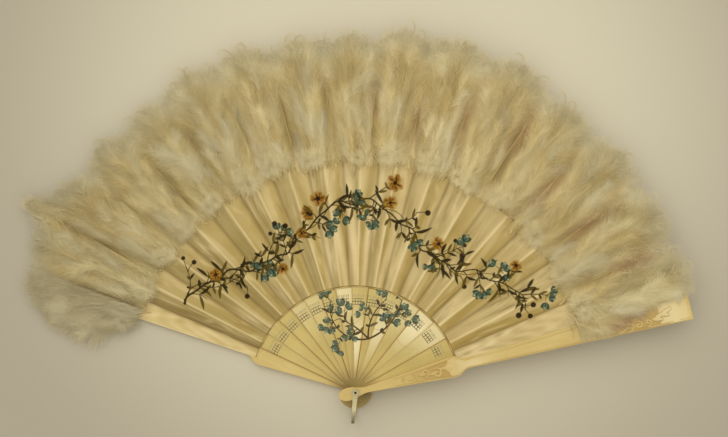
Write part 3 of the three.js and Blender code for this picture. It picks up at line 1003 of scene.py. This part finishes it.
def scroll(u, v, at, offset, size, hand):
    """A rolled tendril: the height of a spiral ridge round one point."""
    x, y = (u - at) / size, hand * (v - offset) / size
    radius = np.hypot(x, y)
    turns = np.arctan2(y, x) / math.tau + 1.3 * radius
    rolled = abs(turns - np.round(turns))
    return hump(rolled, 0.2) * step(1.1 - radius, 0, 0.3)


def shell(u, v, at, offset, size, lobes):
    """A fan of lobes that opens towards the handle."""
    x, y = (at - u) / size, (v - offset) / size
    radius, turn = np.hypot(x, y), np.arctan2(y, x)
    rim = 0.85 + 0.15 * abs(np.cos(lobes * turn))
    return step(rim - radius, 0, 0.12) * step(x, -0.1, 0.1) * (0.35 + 0.65 * abs(np.cos(lobes * turn)) ** 0.6)


def carved_leaf(u, v, at, offset, length, width, lift):
    """A pointed leaf with a sunk midrib that lies along the guard and curves upwards."""
    x = (u - at) / length
    y = (v - offset - lift * x * x) / width
    half = np.sin(math.pi * np.clip(x, 0, 1)) ** 0.7
    return step(half - abs(y), 0, 0.5) * (0.5 + 0.5 * step(abs(y), 0.05, 0.3)) * (x > 0) * (x < 1)


def guard_relief(u, v, half):
    """The height of the carving: at every point the highest of its forms."""
    ring = np.hypot((u - 250) / 14, (v + 1.5) / 7.5)
    forms = [0.3 * hump(half - abs(v) - 0.9, 0.5), hump(ring - 1, 0.09), shell(u, v, 98, 0.4, 11.0, 3)]
    for i in range(4):
        size = 2.6 + 0.9 * i
        side = (-1) ** i
        forms.append(scroll(u, v, 46 + 11 * i, 0.25 * size * side, size, side))
        forms.append(carved_leaf(u, v, 49 + 11 * i, -0.3 * size * side, 10.0, 1.8, 1.5 * side))
        forms.append(carved_leaf(u, v, 286 + 3.5 * i, -3.6 + 1.4 * i, 12.0, 2.2, 3.0 if i % 2 else -2.5))
    for i in range(3):
        forms.append(scroll(u, v, 265 + 9.0 * i, -5.2, 4.4 - 0.4 * i, (-1) ** i))
    return np.maximum.reduce(forms)


print("carved forms: ridges, scrolls, leaves and a shell")

# %% [markdown]
# ## Cutting the guard
# The forms stand on a face laid over the guard's own. The ground between them, the steep sides of the forms
# and the guard's edges are painted darker. Near the shoulder and near the end the guard gets a painted
# highlight.

# %% Carve the front guard
CARVED_FROM = 38.0
CARVED_TO = 322.0
CARVED_INSET = 0.9
CARVED_LIFT = 0.02
CARVED_ROWS = 700
CARVED_COLUMNS = 44
CARVED_COVER = 0.75
RELIEF = 0.8


def carved_face():
    turn = ANGLES[FRONT]
    along = np.linspace(CARVED_FROM, CARVED_TO, CARVED_ROWS)
    half = half_width("front_guard", turn, along, math.inf, FRONT_TOP - 0.1) - CARVED_INSET
    u, v, x, y = strip(along, half, CARVED_COLUMNS, turn)
    half = np.repeat(half, CARVED_COLUMNS)
    height = guard_relief(u, v, half)
    fade = step(half - abs(v), 0, 0.7)
    z = FRONT_TOP + CARVED_LIFT + RELIEF * height * fade
    cut = step(u, 48, 76) * step(97 - u, 0, 4) + step(u, 252, 262) * step(308 - u, 0, 8)
    # the ground between the forms, their steep sides and the guard's edges are painted darker
    sunk = step(0.45 - height, 0, 0.4) * (0.36 * cut * fade + 0.7 * step(abs(np.gradient(height)), 0.02, 0.2))
    sunk = np.maximum(sunk, 0.6 * (1 - fade))
    # painted highlights near the end and near the shoulder
    highlight_strength = 0.5 * hump(u - 306, 20) + 0.4 * hump(u - 112, 18)
    shades = np.where((sunk > highlight_strength)[:, None], EDGE_BROWN, BONE_HIGHLIGHT)
    cover = np.clip(np.maximum(sunk, highlight_strength), 0, CARVED_COVER)
    shades = np.concatenate([shades, cover[:, None]], axis=1)
    finish = bone("carved_bone", turn, GUARD_LIGHT, GUARD_DEEP, painted=True)
    points = np.stack([x, y, z], axis=1)
    made = piece_from_grid("guard_carving", points, CARVED_COLUMNS, shades, finish)
    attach(made, "front_guard")


carved_face()
print("carved", CARVED_TO - CARVED_FROM, "mm of the front guard")

# %% [markdown]
# ## The down border
# Between two ribs the down swells into one soft column, and the ribs lie in the valleys.
# Marabou down is a cloud of long fine barbs. Drawn feather by feather it looks like a palm branch,
# so we comb it instead: barbs are sown at random, and one field says which way each of them flows.
# Half a plume is the down from its rib to the middle of a column. Two shares say where a point lies in it.
# q is 0 on the rib and 1 in the middle of the column. s is 0 at the leaf and 1 at the outer edge.

# %% Half a plume
DOWN_ROOT = 217.0
DOWN_TOP = 338.0
DOWN_NOTCH = 13.0
DOWN_LOFT = 6.0
HUMPS = ((9.0, 71, 14), (4.0, 102, 6), (-3.0, 157, 7))
STRAY_TUFT = 46.0


def column_top(turn):
    """How far the down reaches at the middle of a column. It stands out at the top of the fan."""
    uneven = 3 * math.sin(turn * 31) + 2 * math.sin(turn * 53)
    return DOWN_TOP + uneven + sum(height * swell(turn, at, width) for height, at, width in HUMPS)


class Half:
    """One side of a plume. hand is 1 on the left of the rib and -1 on the right."""

    sown = (-0.02, 1.05)
    greyness = 0.0
    dimness = 1.0
    roundness = 0.35

    def __init__(self, member, hand, width, level):
        self.turn = ANGLES[member]
        self.member = member
        self.hand = hand
        self.width = width
        self.level = level
        self.top = column_top(self.at(1.0))
        self.notch = DOWN_NOTCH - STRAY_TUFT * swell(self.turn, 150, 3)
        # painted light: the down is painted lighter round the middle of the fan and darker towards its ends
        self.tone = self.dimness * (0.86 + 0.19 * swell(self.turn, 74, 60))
        self.root = DOWN_ROOT + 2 * math.sin(member * 2.1 + hand) + step(member, 8, 11)

    def at(self, q):
        """The angle on the open fan at a share q."""
        return self.turn + self.hand * self.width * q

    def limit(self, q):
        return self.top - self.notch * np.clip(1 - q, 0, 1) ** 1.8

    def lean(self, q, s):
        """Which way the barbs flow, as an angle from straight outwards: they turn towards the valley."""
        c = np.clip(1 - q, 0, 1)
        return -self.hand * (0.03 + 0.25 * c + 0.6 * c * step(s, 0.4, 0.85))

    def spread(self, s):
        """How much of its width the half fills at a share of its length."""
        return 1.0

    def envelope(self, q, s):
        """Height of the soft surface over the rib. The valleys close towards the outer edge."""
        valley = np.clip(1 - q, 0, 1) ** 2 * (0.8 - 0.55 * step(s, 0.45, 0.8))
        swelling = (0.55 + 0.45 * step(s, -0.05, 0.15)) * (1 - 0.6 * np.clip(s, 0, 1) ** 3)
        return DOWN_LOFT * (1 - valley) * swelling

    def leaf_edge(self, q):
        """Height of the leaf's outer edge over the rib. It falls from left to right over the glued panel."""
        fall = PLEAT_SLOPE * LEAF_OUTER * math.tan(HALF_PANEL) * (self.member > 0)
        turns = (-self.width, -HALF_PANEL, HALF_PANEL, self.width)
        rises = (LEAF_LIFT, LEAF_LIFT - fall, LEAF_LIFT + fall, LEAF_LIFT - STICK_PITCH * (self.member > 0))
        return np.interp(self.hand * q * self.width, turns, rises)

    def shares(self, lines):
        """The shares q and s of points on lines, and how far they lie from the rivet."""
        x, y = lines[:, :, 0], lines[:, :, 1]
        far = np.hypot(x, y)
        q = self.hand * (np.arctan2(y, x) - self.turn) / self.width
        return q, (far - self.root) / (self.limit(q) - self.root), far

    def room(self, q, reach, lean):
        """How long a barb can be before it leaves the plume."""
        return (self.limit(q) - reach) / np.maximum(np.cos(lean), 0.35)


print("columns reach", DOWN_TOP, "mm, and", DOWN_NOTCH, "mm less in the valleys")

# %% [markdown]
# ## The two ends of the border
# The first plume hangs past the rear guard as a free lobe, and its barbs turn away from the guard.
# At the other end the last column spills over the front guard. There the down lies on the guard's face
# near the leaf and draws back to the guard's upper edge further out.
# Both are halves with other limits, so each is a class that changes only what differs.

# %% The lobe and the spill
LOBE_TURN = math.radians(8.6)
SPILL_OVERHANG = 7.0
SPILL_DRAWN_BACK = 19.0


class Lobe(Half):
    sown = (-0.02, 0.72)
    greyness = 0.75
    dimness = 0.88
    roundness = 0.0

    def limit(self, q):
        return self.top - 6 - 104 * np.clip(q, 0, 1.1) ** 3

    def lean(self, q, s):
        return self.hand * (0.1 + 1.4 * np.clip(q, 0, 1))

    def envelope(self, q, s):
        return DOWN_LOFT * (1 - 0.75 * np.clip(q, 0, 1) ** 2) * (1 - 0.6 * np.clip(s, 0, 1) ** 3)

    def spread(self, s):
        return 0.55 + 0.45 * step(s, 0.0, 0.4)

    def room(self, q, reach, lean):
        return 30.0 + 0 * q


class Spill(Half):
    sown = (0.4, 1.1)
    greyness = 0.25
    roundness = 0.0

    def limit(self, q):
        return self.top - 40 * np.clip(1 - q, 0, 1) ** 2.2

    def lean(self, q, s):
        return -0.3 - 0.8 * step(0.34 - s, 0, 0.2) + 0 * q

    def leaf_edge(self, q):
        return 0.5 + 0 * q

    def envelope(self, q, s):
        return 2.6 * (1 - 0.5 * np.clip(s, 0, 1) ** 3) * (0.4 + 0.6 * step(q, 0, 0.7))

    def room(self, q, reach, lean):
        """A barb also ends on the guard: past its middle near the leaf, at its upper edge further out."""
        drop = np.maximum(np.sin(-lean), 0.1)
        overhang = SPILL_OVERHANG - SPILL_DRAWN_BACK * step(reach, 238, 275)
        return np.minimum(super().room(q, reach, lean), (q * self.width * reach + overhang) / drop)


print("lobe", round(math.degrees(LOBE_TURN), 1), "degrees wide")

# %% [markdown]
# ## Combing the ground
# A barb is a short curved line. It starts at a sown point, leaves along the flow and bends by its own curl.
# Its height follows the soft surface at its depth, and over the leaf it lies on the silk.
# Towards the outer edge the barbs are short and point every way, which turns the combed down into a cloud.

# %% Sow and comb the barbs
GROUND_BARBS = 3000
UNDER_BARBS = 600
BARB_STEPS = 4


def strands(draw, half, start, way, curl, length, depth):
    """Centre lines of barbs from their first points, headings, curls, lengths and depths."""
    u = np.linspace(0, 1, BARB_STEPS + 1)[None, :]
    way = way[:, None] + curl[:, None] * u**1.5
    steps = np.stack([np.cos(way), np.sin(way)], axis=2) * (length / BARB_STEPS)[:, None, None]
    line = start[:, None, :] + np.cumsum(steps, axis=1) - steps[:, :1]
    q, s, far = half.shares(line)
    lift = half.envelope(q, s) * depth[:, None]
    over = step(LEAF_OUTER + 8 - far, 0, 7)
    lift = (0.5 + lift) * (1 - over) + (half.leaf_edge(q) + 0.3 + 0.7 * lift) * over
    z = half.level + lift + draw.normal(0, 0.2, (len(line), 1)) * u
    return np.concatenate([line, z[:, :, None]], axis=2)


def ground(draw, half, count, depth):
    """Barbs sown over the whole half."""
    s = draw.uniform(0, 0.95, count)
    q = draw.uniform(*half.sown, count) * half.spread(s)
    reach = between(half.root, half.limit(q), s) - draw.exponential(2.0, count)
    turn = half.at(q)
    cloud = step(s, 0.55, 1.0)
    flow = 0.14 * np.sin(reach * 0.06 + 2.3 * np.sin(q * 4 + half.member))
    lean = half.lean(q, s) + flow + draw.normal(0, 1, count) * (0.12 + 0.4 * cloud)
    length = draw.uniform(16, 32, count) * (1 - 0.45 * cloud)
    length = np.minimum(length, np.maximum(half.room(q, reach, lean), 4.0))
    curl = half.lean(q, s) * 0.5 + draw.normal(0, 1, count) * (0.25 + 0.8 * cloud)
    start = np.stack(polar(reach, turn), axis=1)
    return strands(draw, half, start, turn + lean, curl, length, depth)


print("ground barbs in half a plume:", GROUND_BARBS + UNDER_BARBS)

# %% [markdown]
# ## Tufts and puffs
# Over the ground lie tufts, where barbs open like a fan from a short curved shaft.
# A round puff hides the edge of the leaf.
# A tuft is lit as a small ball of its own, so its points also keep how far they lie from its middle.

# %% Make tufts and puffs
TUFTS = 10
TUFT_BARBS = 320
PUFF_BARBS = 600
PUFF_SIZE = (8.0, 16.0)


def tuft(draw, half, s):
    """One tuft at share s: barbs that open to both sides of a short curved shaft."""
    q = draw.uniform(max(half.sown[0], 0.1), min(half.sown[1], 1.0)) * half.spread(s)
    reach = half.root - 2 + (half.limit(q) - half.root) * s * 0.8
    turn = half.at(q)
    lean = 0.8 * half.lean(q, s) + draw.normal(0, 0.14)
    size = draw.uniform(32, 54) * (1 - 0.3 * s)
    size = min(size, max(half.room(q, reach, lean), 4.0) + draw.uniform(2, 7))
    v = draw.uniform(0, 1, TUFT_BARBS) ** 0.8
    bow = draw.normal(0, 0.35)
    way = turn + lean + bow * v / 2
    shaft = np.stack([np.cos(way), np.sin(way)], axis=1) * (0.64 * size * v)[:, None]
    foot = np.array(polar(reach, turn))
    start = foot + shaft + draw.normal(0, 0.5, (TUFT_BARBS, 2))
    side = np.where(np.arange(TUFT_BARBS) % 2, 1.0, -1.0)
    opening = side * (0.4 + 0.4 * s - 0.2 * v) + draw.normal(0, 0.2, TUFT_BARBS)
    length = 0.45 * size * (1 - 0.25 * v) * draw.uniform(0.6, 1.15, TUFT_BARBS)
    curl = side * draw.uniform(-0.6, 0.6, TUFT_BARBS) + 0.6 * draw.normal(0, 1, TUFT_BARBS) * s**3
    depth = 0.85 + 0.3 * (1 - s) + draw.uniform(-0.2, 0.1, TUFT_BARBS)
    lines = strands(draw, half, start, way + bow * v / 2 + opening, curl, length, depth)
    middle = foot + 0.45 * size * np.array([math.cos(turn + lean), math.sin(turn + lean)])
    return lines, depth, (lines[:, :, :2] - middle) / (0.6 * size)


def puff(draw, half):
    """A round puff over the edge of the leaf. Barbs open all round from its heart."""
    turn = half.at(half.spread(0.0) * draw.uniform(0.6, 1.0))
    heart = np.array(polar(half.root + draw.uniform(5, 12), turn))
    size = draw.uniform(*PUFF_SIZE)
    way = draw.uniform(-math.pi, math.pi, PUFF_BARBS)
    out = np.stack([np.cos(way), np.sin(way)], axis=1)
    start = heart + out * (0.5 * size * np.sqrt(draw.uniform(0, 1, PUFF_BARBS)))[:, None]
    length = size * draw.uniform(0.3, 0.66, PUFF_BARBS)
    curl = draw.normal(0, 0.4, PUFF_BARBS)
    depth = draw.uniform(0.9, 1.3, PUFF_BARBS)
    lines = strands(draw, half, start, way + draw.normal(0, 0.4, PUFF_BARBS), curl, length, depth)
    return lines, depth, (lines[:, :, :2] - heart) / size


print("tufts in half a plume:", TUFTS, "of", TUFT_BARBS, "barbs")

# %% [markdown]
# ## Ringlets and shafts
# At the outer edge strands of barbs roll up into ringlets, with a loose fringe between them.
# A long bare shaft runs in the valley, where the down parts over the rib.

# %% Make ringlets and shafts
RINGLETS = 3
RINGLET_BARBS = 16
FRINGE_BARBS = 140
QUILL_WIDTH = 1.1


def ringlets(draw, half):
    """Strands of barbs that roll up together at the outer edge, and a loose fringe between them."""
    low, high = max(half.sown[0], 0.1), half.sown[1]
    loose = np.arange(RINGLETS * RINGLET_BARBS + FRINGE_BARBS) >= RINGLETS * RINGLET_BARBS

    def either(rolled, fringe):
        """One value for each ringlet, repeated for its barbs, and one for each loose barb."""
        return np.concatenate([np.repeat(rolled, RINGLET_BARBS), fringe])

    q = either(draw.uniform(low, high, RINGLETS), draw.uniform(low, high, FRINGE_BARBS))
    side = either(np.sign(draw.normal(0, 1, RINGLETS)), np.sign(draw.normal(0, 1, FRINGE_BARBS)))
    back = either(draw.uniform(1, 9, RINGLETS), draw.uniform(2, 12, FRINGE_BARBS))
    curl = side * either(draw.uniform(1.8, 3.8, RINGLETS), draw.uniform(0.6, 2.4, FRINGE_BARBS))
    length = either(draw.uniform(10, 21, RINGLETS), draw.uniform(7, 14, FRINGE_BARBS))
    turn = half.at(q)
    way = turn + half.lean(q, 1.0) - side * (0.4 + draw.normal(0, 1, len(q)) * np.where(loose, 0.5, 0.07))
    curl = curl + draw.normal(0, 0.2, len(q))
    length = length * draw.uniform(0.9, 1.1, len(q))
    depth = draw.uniform(0.6, 1.1, len(q))
    start = np.stack(polar(half.limit(q) - back, turn), axis=1)
    return strands(draw, half, start, way, curl, length, depth), depth


def parting(member):
    """From where to where the down parts over a rib, in millimetres from the rivet."""
    return 236 + 9 * math.sin(member * 2.7), 298 + 16 * math.sin(member * 1.3)


def quill(draw, half):
    """The bare shaft of a plume, straight along the rib and a little longer than the parting."""
    low, high = parting(half.member)
    start = np.array([polar(low - 10, half.turn)])
    length = np.array([high - low + 16])
    return strands(draw, half, start, np.array([half.turn]), np.zeros(1), length, np.ones(1))


print("ringlets in half a plume:", RINGLETS, "of", RINGLET_BARBS, "barbs")

# %% [markdown]
# ## Parting the down
# The shafts show as thin yellow lines where the down parts over the ribs. Leaving barbs out there would thin
# the down beside the rib too, so barbs near a rib are pushed aside instead.

# %% Part the down at the ribs


def part_at_rib(half, lines, width):
    """Pushes barbs off the rib, so that the shaft shows in the valley for part of its length."""
    q, _, far = half.shares(lines)
    aside = q * half.width * far
    low, high = parting(half.member)
    window = step(far, low, low + 12) * step(high - far, 0, 24)
    uneven = (np.arange(len(lines)) * 0.618 % 1)[:, None]
    limit = 0.8 + width / 2 + 1.6 * uneven - 9 * (1 - window)
    aside = np.where(aside < limit, limit - (limit - aside) * 0.05, aside)
    x, y = polar(far, half.turn + half.hand * aside / far)
    return np.stack([x, y, lines[:, :, 2]], axis=2)


print("the first rib shows from", *[round(reach) for reach in parting(1)], "mm")

# %% [markdown]
# ## Tinting and shading the down
# Down is palest in the middle of a column. It is painted darker and golder in the valleys and where it lies
# deep, as painted shade, and brown where age has stained it.
# A single ribbon would catch the light like a blade of grass. Normals of the soft column and of the tufts
# take its place, so that the down is shaded as one cloud.

# %% Tint and shade the down
DOWN_LIGHT = colour(241, 223, 163)
DOWN_WARM = colour(214, 188, 118)
DOWN_SHADE = colour(148, 122, 66)
DOWN_GREY = colour(221, 209, 166)
DOWN_GOLD = colour(146, 118, 58)
DOWN_STAIN = colour(164, 112, 74)
QUILL = colour(208, 182, 108)
TUFT_ROUNDNESS = 0.16


def streaks(half, q, s):
    """A wave: where the down lies thicker or thinner. It runs along the half and billows at the edge."""
    shift = half.member * 2.3 + half.hand
    slow = np.sin(q * 5 + shift + 1.2 * np.sin(s * 4 + shift))
    fast = np.sin(q * 13 - shift + 1.5 * np.sin(s * 7 + shift))
    billow = np.sin(q * 6 - shift) * np.sin(s * 15 + 2 * shift + 3 * q)
    edge = step(s, 0.5, 0.9)
    return (0.6 * slow + 0.4 * fast) * (1 - 0.7 * edge) + 0.8 * billow * edge


def tint(draw, half, lines, depth, bright, pale):
    """The colour of every point of the barbs. Bright barbs are lighter, pale ones greyer. Valleys and deep
    barbs get painted shade.
    """
    q, s, far = half.shares(lines)
    q, s = np.clip(q, 0, 1), np.clip(s, 0, 1)
    along = np.linspace(-0.5, 0.5, lines.shape[1])[None, :]
    shown = step(s, 0.02, 0.25) * step(0.85 - s, 0, 0.4) * (half.roundness > 0)
    firm = (1.0 - 0.25 * half.hand) * (0.8 + 0.35 * math.sin(half.member * 2.4))
    # painted shade in the valleys, stronger on the right of each rib
    valley = (1 - q) ** 2.2 * shown * firm
    light = 0.66 + 0.19 * streaks(half, q, s) + 0.14 * along - 0.54 * valley
    light = light - 0.17 * hump(s - 0.74, 0.2) * (half.roundness > 0)
    # deep barbs are painted darker, as painted shade under the barbs above them
    light = light + 0.3 * (depth[:, None] - 0.7) + bright[:, None] + draw.normal(0, 0.1, (len(q), 1))
    light = np.clip(light, 0, 1)[:, :, None]
    shade = between(DOWN_SHADE, DOWN_WARM, np.clip(light * 2, 0, 1))
    shade = between(shade, DOWN_LIGHT, np.clip(light * 2 - 1, 0, 1))
    grey = np.maximum(half.greyness, 0.85 * step(s, 0.72, 1.0))
    grey = np.maximum(grey, pale[:, None] * np.clip(1 - 0.7 * valley, 0, 1))
    # painted light across the fan
    shade = between(shade, DOWN_GREY * (0.75 + 0.4 * light), grey[:, :, None]) * half.tone
    at = 274 + 16 * math.sin(half.member * 1.9)
    patch = hump(far - at, 24) * hump(q, 0.26) * draw.uniform(0, 1, (len(q), 1))
    age = float(step(half.member, 6, 10))
    old = between(DOWN_GOLD, DOWN_STAIN, age)
    return between(shade, old, (patch * (0.6 + 0.35 * age))[:, :, None])


def soft_normals(half, lines, bulge):
    x, y = lines[:, :, 0], lines[:, :, 1]
    q, s, far = half.shares(lines)
    c = half.hand * np.clip(1 - q, -0.3, 1) * half.roundness * (1 - 0.6 * step(s, 0.5, 0.9))
    out = np.clip(bulge, -1, 1) * TUFT_ROUNDNESS
    tilt = np.stack([c * y / far + out[..., 0], -c * x / far + out[..., 1], 1 + 0 * c], axis=2)
    return tilt / np.linalg.norm(tilt, axis=2, keepdims=True)


print("tints from", DOWN_SHADE.round(2), "to", DOWN_LIGHT.round(2))

# %% [markdown]
# ## From lines to ribbons
# A hair system would draw such barbs, but it leaves no mesh behind. So each barb becomes a thin ribbon
# that tapers to its tip. Every narrow ribbon is rolled by its own angle, or all would vanish from the same
# side; broad ones lie flat.

# %% Make ribbons
BARB_WIDTH = 0.27
UNDER_WIDTH = 1.3
FLAT_WIDTH = 0.7


def ribbons(draw, lines, width):
    """Points and quads of ribbons along centre lines."""
    run = np.gradient(lines, axis=1)
    flat = np.stack([-run[:, :, 1], run[:, :, 0], 0 * run[:, :, 0]], axis=2)
    flat = flat / np.maximum(np.linalg.norm(flat, axis=2, keepdims=True), 1e-6)
    roll = (draw.uniform(-0.6, 0.6, len(lines)) * (width < FLAT_WIDTH))[:, None, None]
    across = flat * np.cos(roll) + np.array([0, 0, 1.0]) * np.sin(roll)
    taper = np.linspace(1, 0.25, lines.shape[1])[None, :, None]
    offset = across * width[:, None, None] * taper / 2
    points = np.stack([lines - offset, lines + offset], axis=2)
    stations = lines.shape[1]
    first = (np.arange(len(lines))[:, None] * stations + np.arange(stations - 1)).ravel() * 2
    quads = np.stack([first + 1, first, first + 2, first + 3], axis=1)
    return points.reshape(-1, 3), quads


def ribbon_layout(count, stations):
    """Gives every ribbon a small cell of its own in a square."""
    side = math.ceil(math.sqrt(count))
    cell = np.arange(count)
    u = (cell % side)[:, None, None] + np.array([0.2, 0.8])[None, None, :] + np.zeros((1, stations, 1))
    v = (cell // side)[:, None, None] + np.linspace(0.1, 0.9, stations)[None, :, None] + np.zeros((1, 1, 2))
    return np.stack([u.ravel(), v.ravel()], axis=1) / side


print("ribbons are", BARB_WIDTH, "mm wide")

# %% [markdown]
# ## The finish of the down
# Down is dull and pale, darker where it lies deep, as painted shade, and browner where it is old. Each barb
# carries its own tint, and a soft sheen stands for the fuzz along it.

# %% Make the down finish
DOWN_WORN = (0.92, 0.88, 0.8)


def down():
    finish = Finish("marabou_down", Roughness=0.95, Sheen_Weight=0.2, Sheen_Roughness=0.6)
    cloud = finish.noise(finish.place(), 60.0, 3.0)
    shade = finish.attribute("Paint")
    worn = finish.times(shade, DOWN_WORN)
    finish.feed(Base_Color=finish.mix(finish.band(cloud, 0.4, 0.7) * 0.6, shade, worn))
    return finish.material


DOWN = down()
print("down finish:", DOWN.name)

# %% [markdown]
# ## Setting the down on its ribs
# Every rib carries the halves of two columns. An underlayer of broad tan barbs hides the board. The tuft
# that spills over the front guard belongs to that guard, so it rides on it.

# %% Set the down


def set_down(name, halves, seed, body):
    draw = np.random.default_rng(seed)
    lines, tints, normals, widths = [], [], [], []

    def add(half, combed, depth, bright=0.0, pale=0.0, width=BARB_WIDTH, bulge=np.zeros(2)):
        if 0 < half.member < FRONT:
            combed = part_at_rib(half, combed, width)
        lines.append(combed)
        tints.append(tint(draw, half, combed, depth, bright + 0 * depth, pale + 0 * depth))
        normals.append(soft_normals(half, combed, bulge))
        widths.append(width * draw.uniform(0.6, 1.25, len(combed)))

    for half in halves:
        # the underlayer lies deep, so its tint is dark: painted shade under the down
        under = draw.uniform(0.0, 0.25, UNDER_BARBS)
        add(half, ground(draw, half, UNDER_BARBS, under), under, width=UNDER_WIDTH)
        depth = np.sqrt(draw.uniform(0.02, 1, GROUND_BARBS))
        add(half, ground(draw, half, GROUND_BARBS, depth), depth, pale=draw.uniform(0, 0.3, GROUND_BARBS))
        for i in range(TUFTS):
            combed, depth, bulge = tuft(draw, half, (i + draw.uniform(0, 1)) / TUFTS)
            add(half, combed, depth, draw.normal(0.03, 0.14), draw.uniform(-0.3, 0.9), bulge=bulge)
        combed, depth, bulge = puff(draw, half)
        add(half, combed, depth, 0.05, 0.4, bulge=bulge)
        add(half, *ringlets(draw, half), bright=-0.3)
        if half.hand < 0 and half.member > 0:
            shaft = quill(draw, half)
            lines.append(shaft)
            tints.append(np.tile(QUILL, shaft.shape[:2] + (1,)))
            normals.append(soft_normals(half, shaft, np.zeros(2)))
            widths.append(np.full(1, QUILL_WIDTH))
    lines = np.concatenate(lines)
    points, quads = ribbons(draw, lines, np.concatenate(widths))
    shades = np.repeat(np.concatenate(tints).reshape(-1, 3), 2, axis=0)
    shades = np.concatenate([shades, np.ones((len(shades), 1))], axis=1)
    layout = ribbon_layout(len(lines), lines.shape[1])
    made = piece_from_quads(name, points, quads, shades, layout, DOWN)
    upward = np.repeat(np.concatenate(normals).reshape(-1, 3), 2, axis=0)
    made.data.normals_split_custom_set_from_vertices(upward)
    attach(made, body)
    return made


def rib_level(member):
    return REAR_BLADE_TOP if member == 0 else BOTTOMS[member] + RIB_THICKNESS


def gap_after(member):
    return ANGLES[member] - ANGLES[member + 1]


def plume(member):
    level = rib_level(member)
    left = Lobe(0, 1, LOBE_TURN, level) if member == 0 else Half(member, 1, gap_after(member - 1) / 2, level)
    right = Half(member, -1, gap_after(member) / 2, level)
    made = set_down(f"down_{member:02d}", [left, right], 100 + member, MEMBERS[member])
    level * MM
    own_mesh(made)
    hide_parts(f"plume_{member:02d}")


for member in range(LAST_STICK + 1):
    plume(member)
set_down("down_spill", [Spill(FRONT, 1, gap_after(LAST_STICK) / 2, FRONT_TOP)], 99, "front_guard")
print("plumes:", LAST_STICK + 1, "and a tuft on the guard")
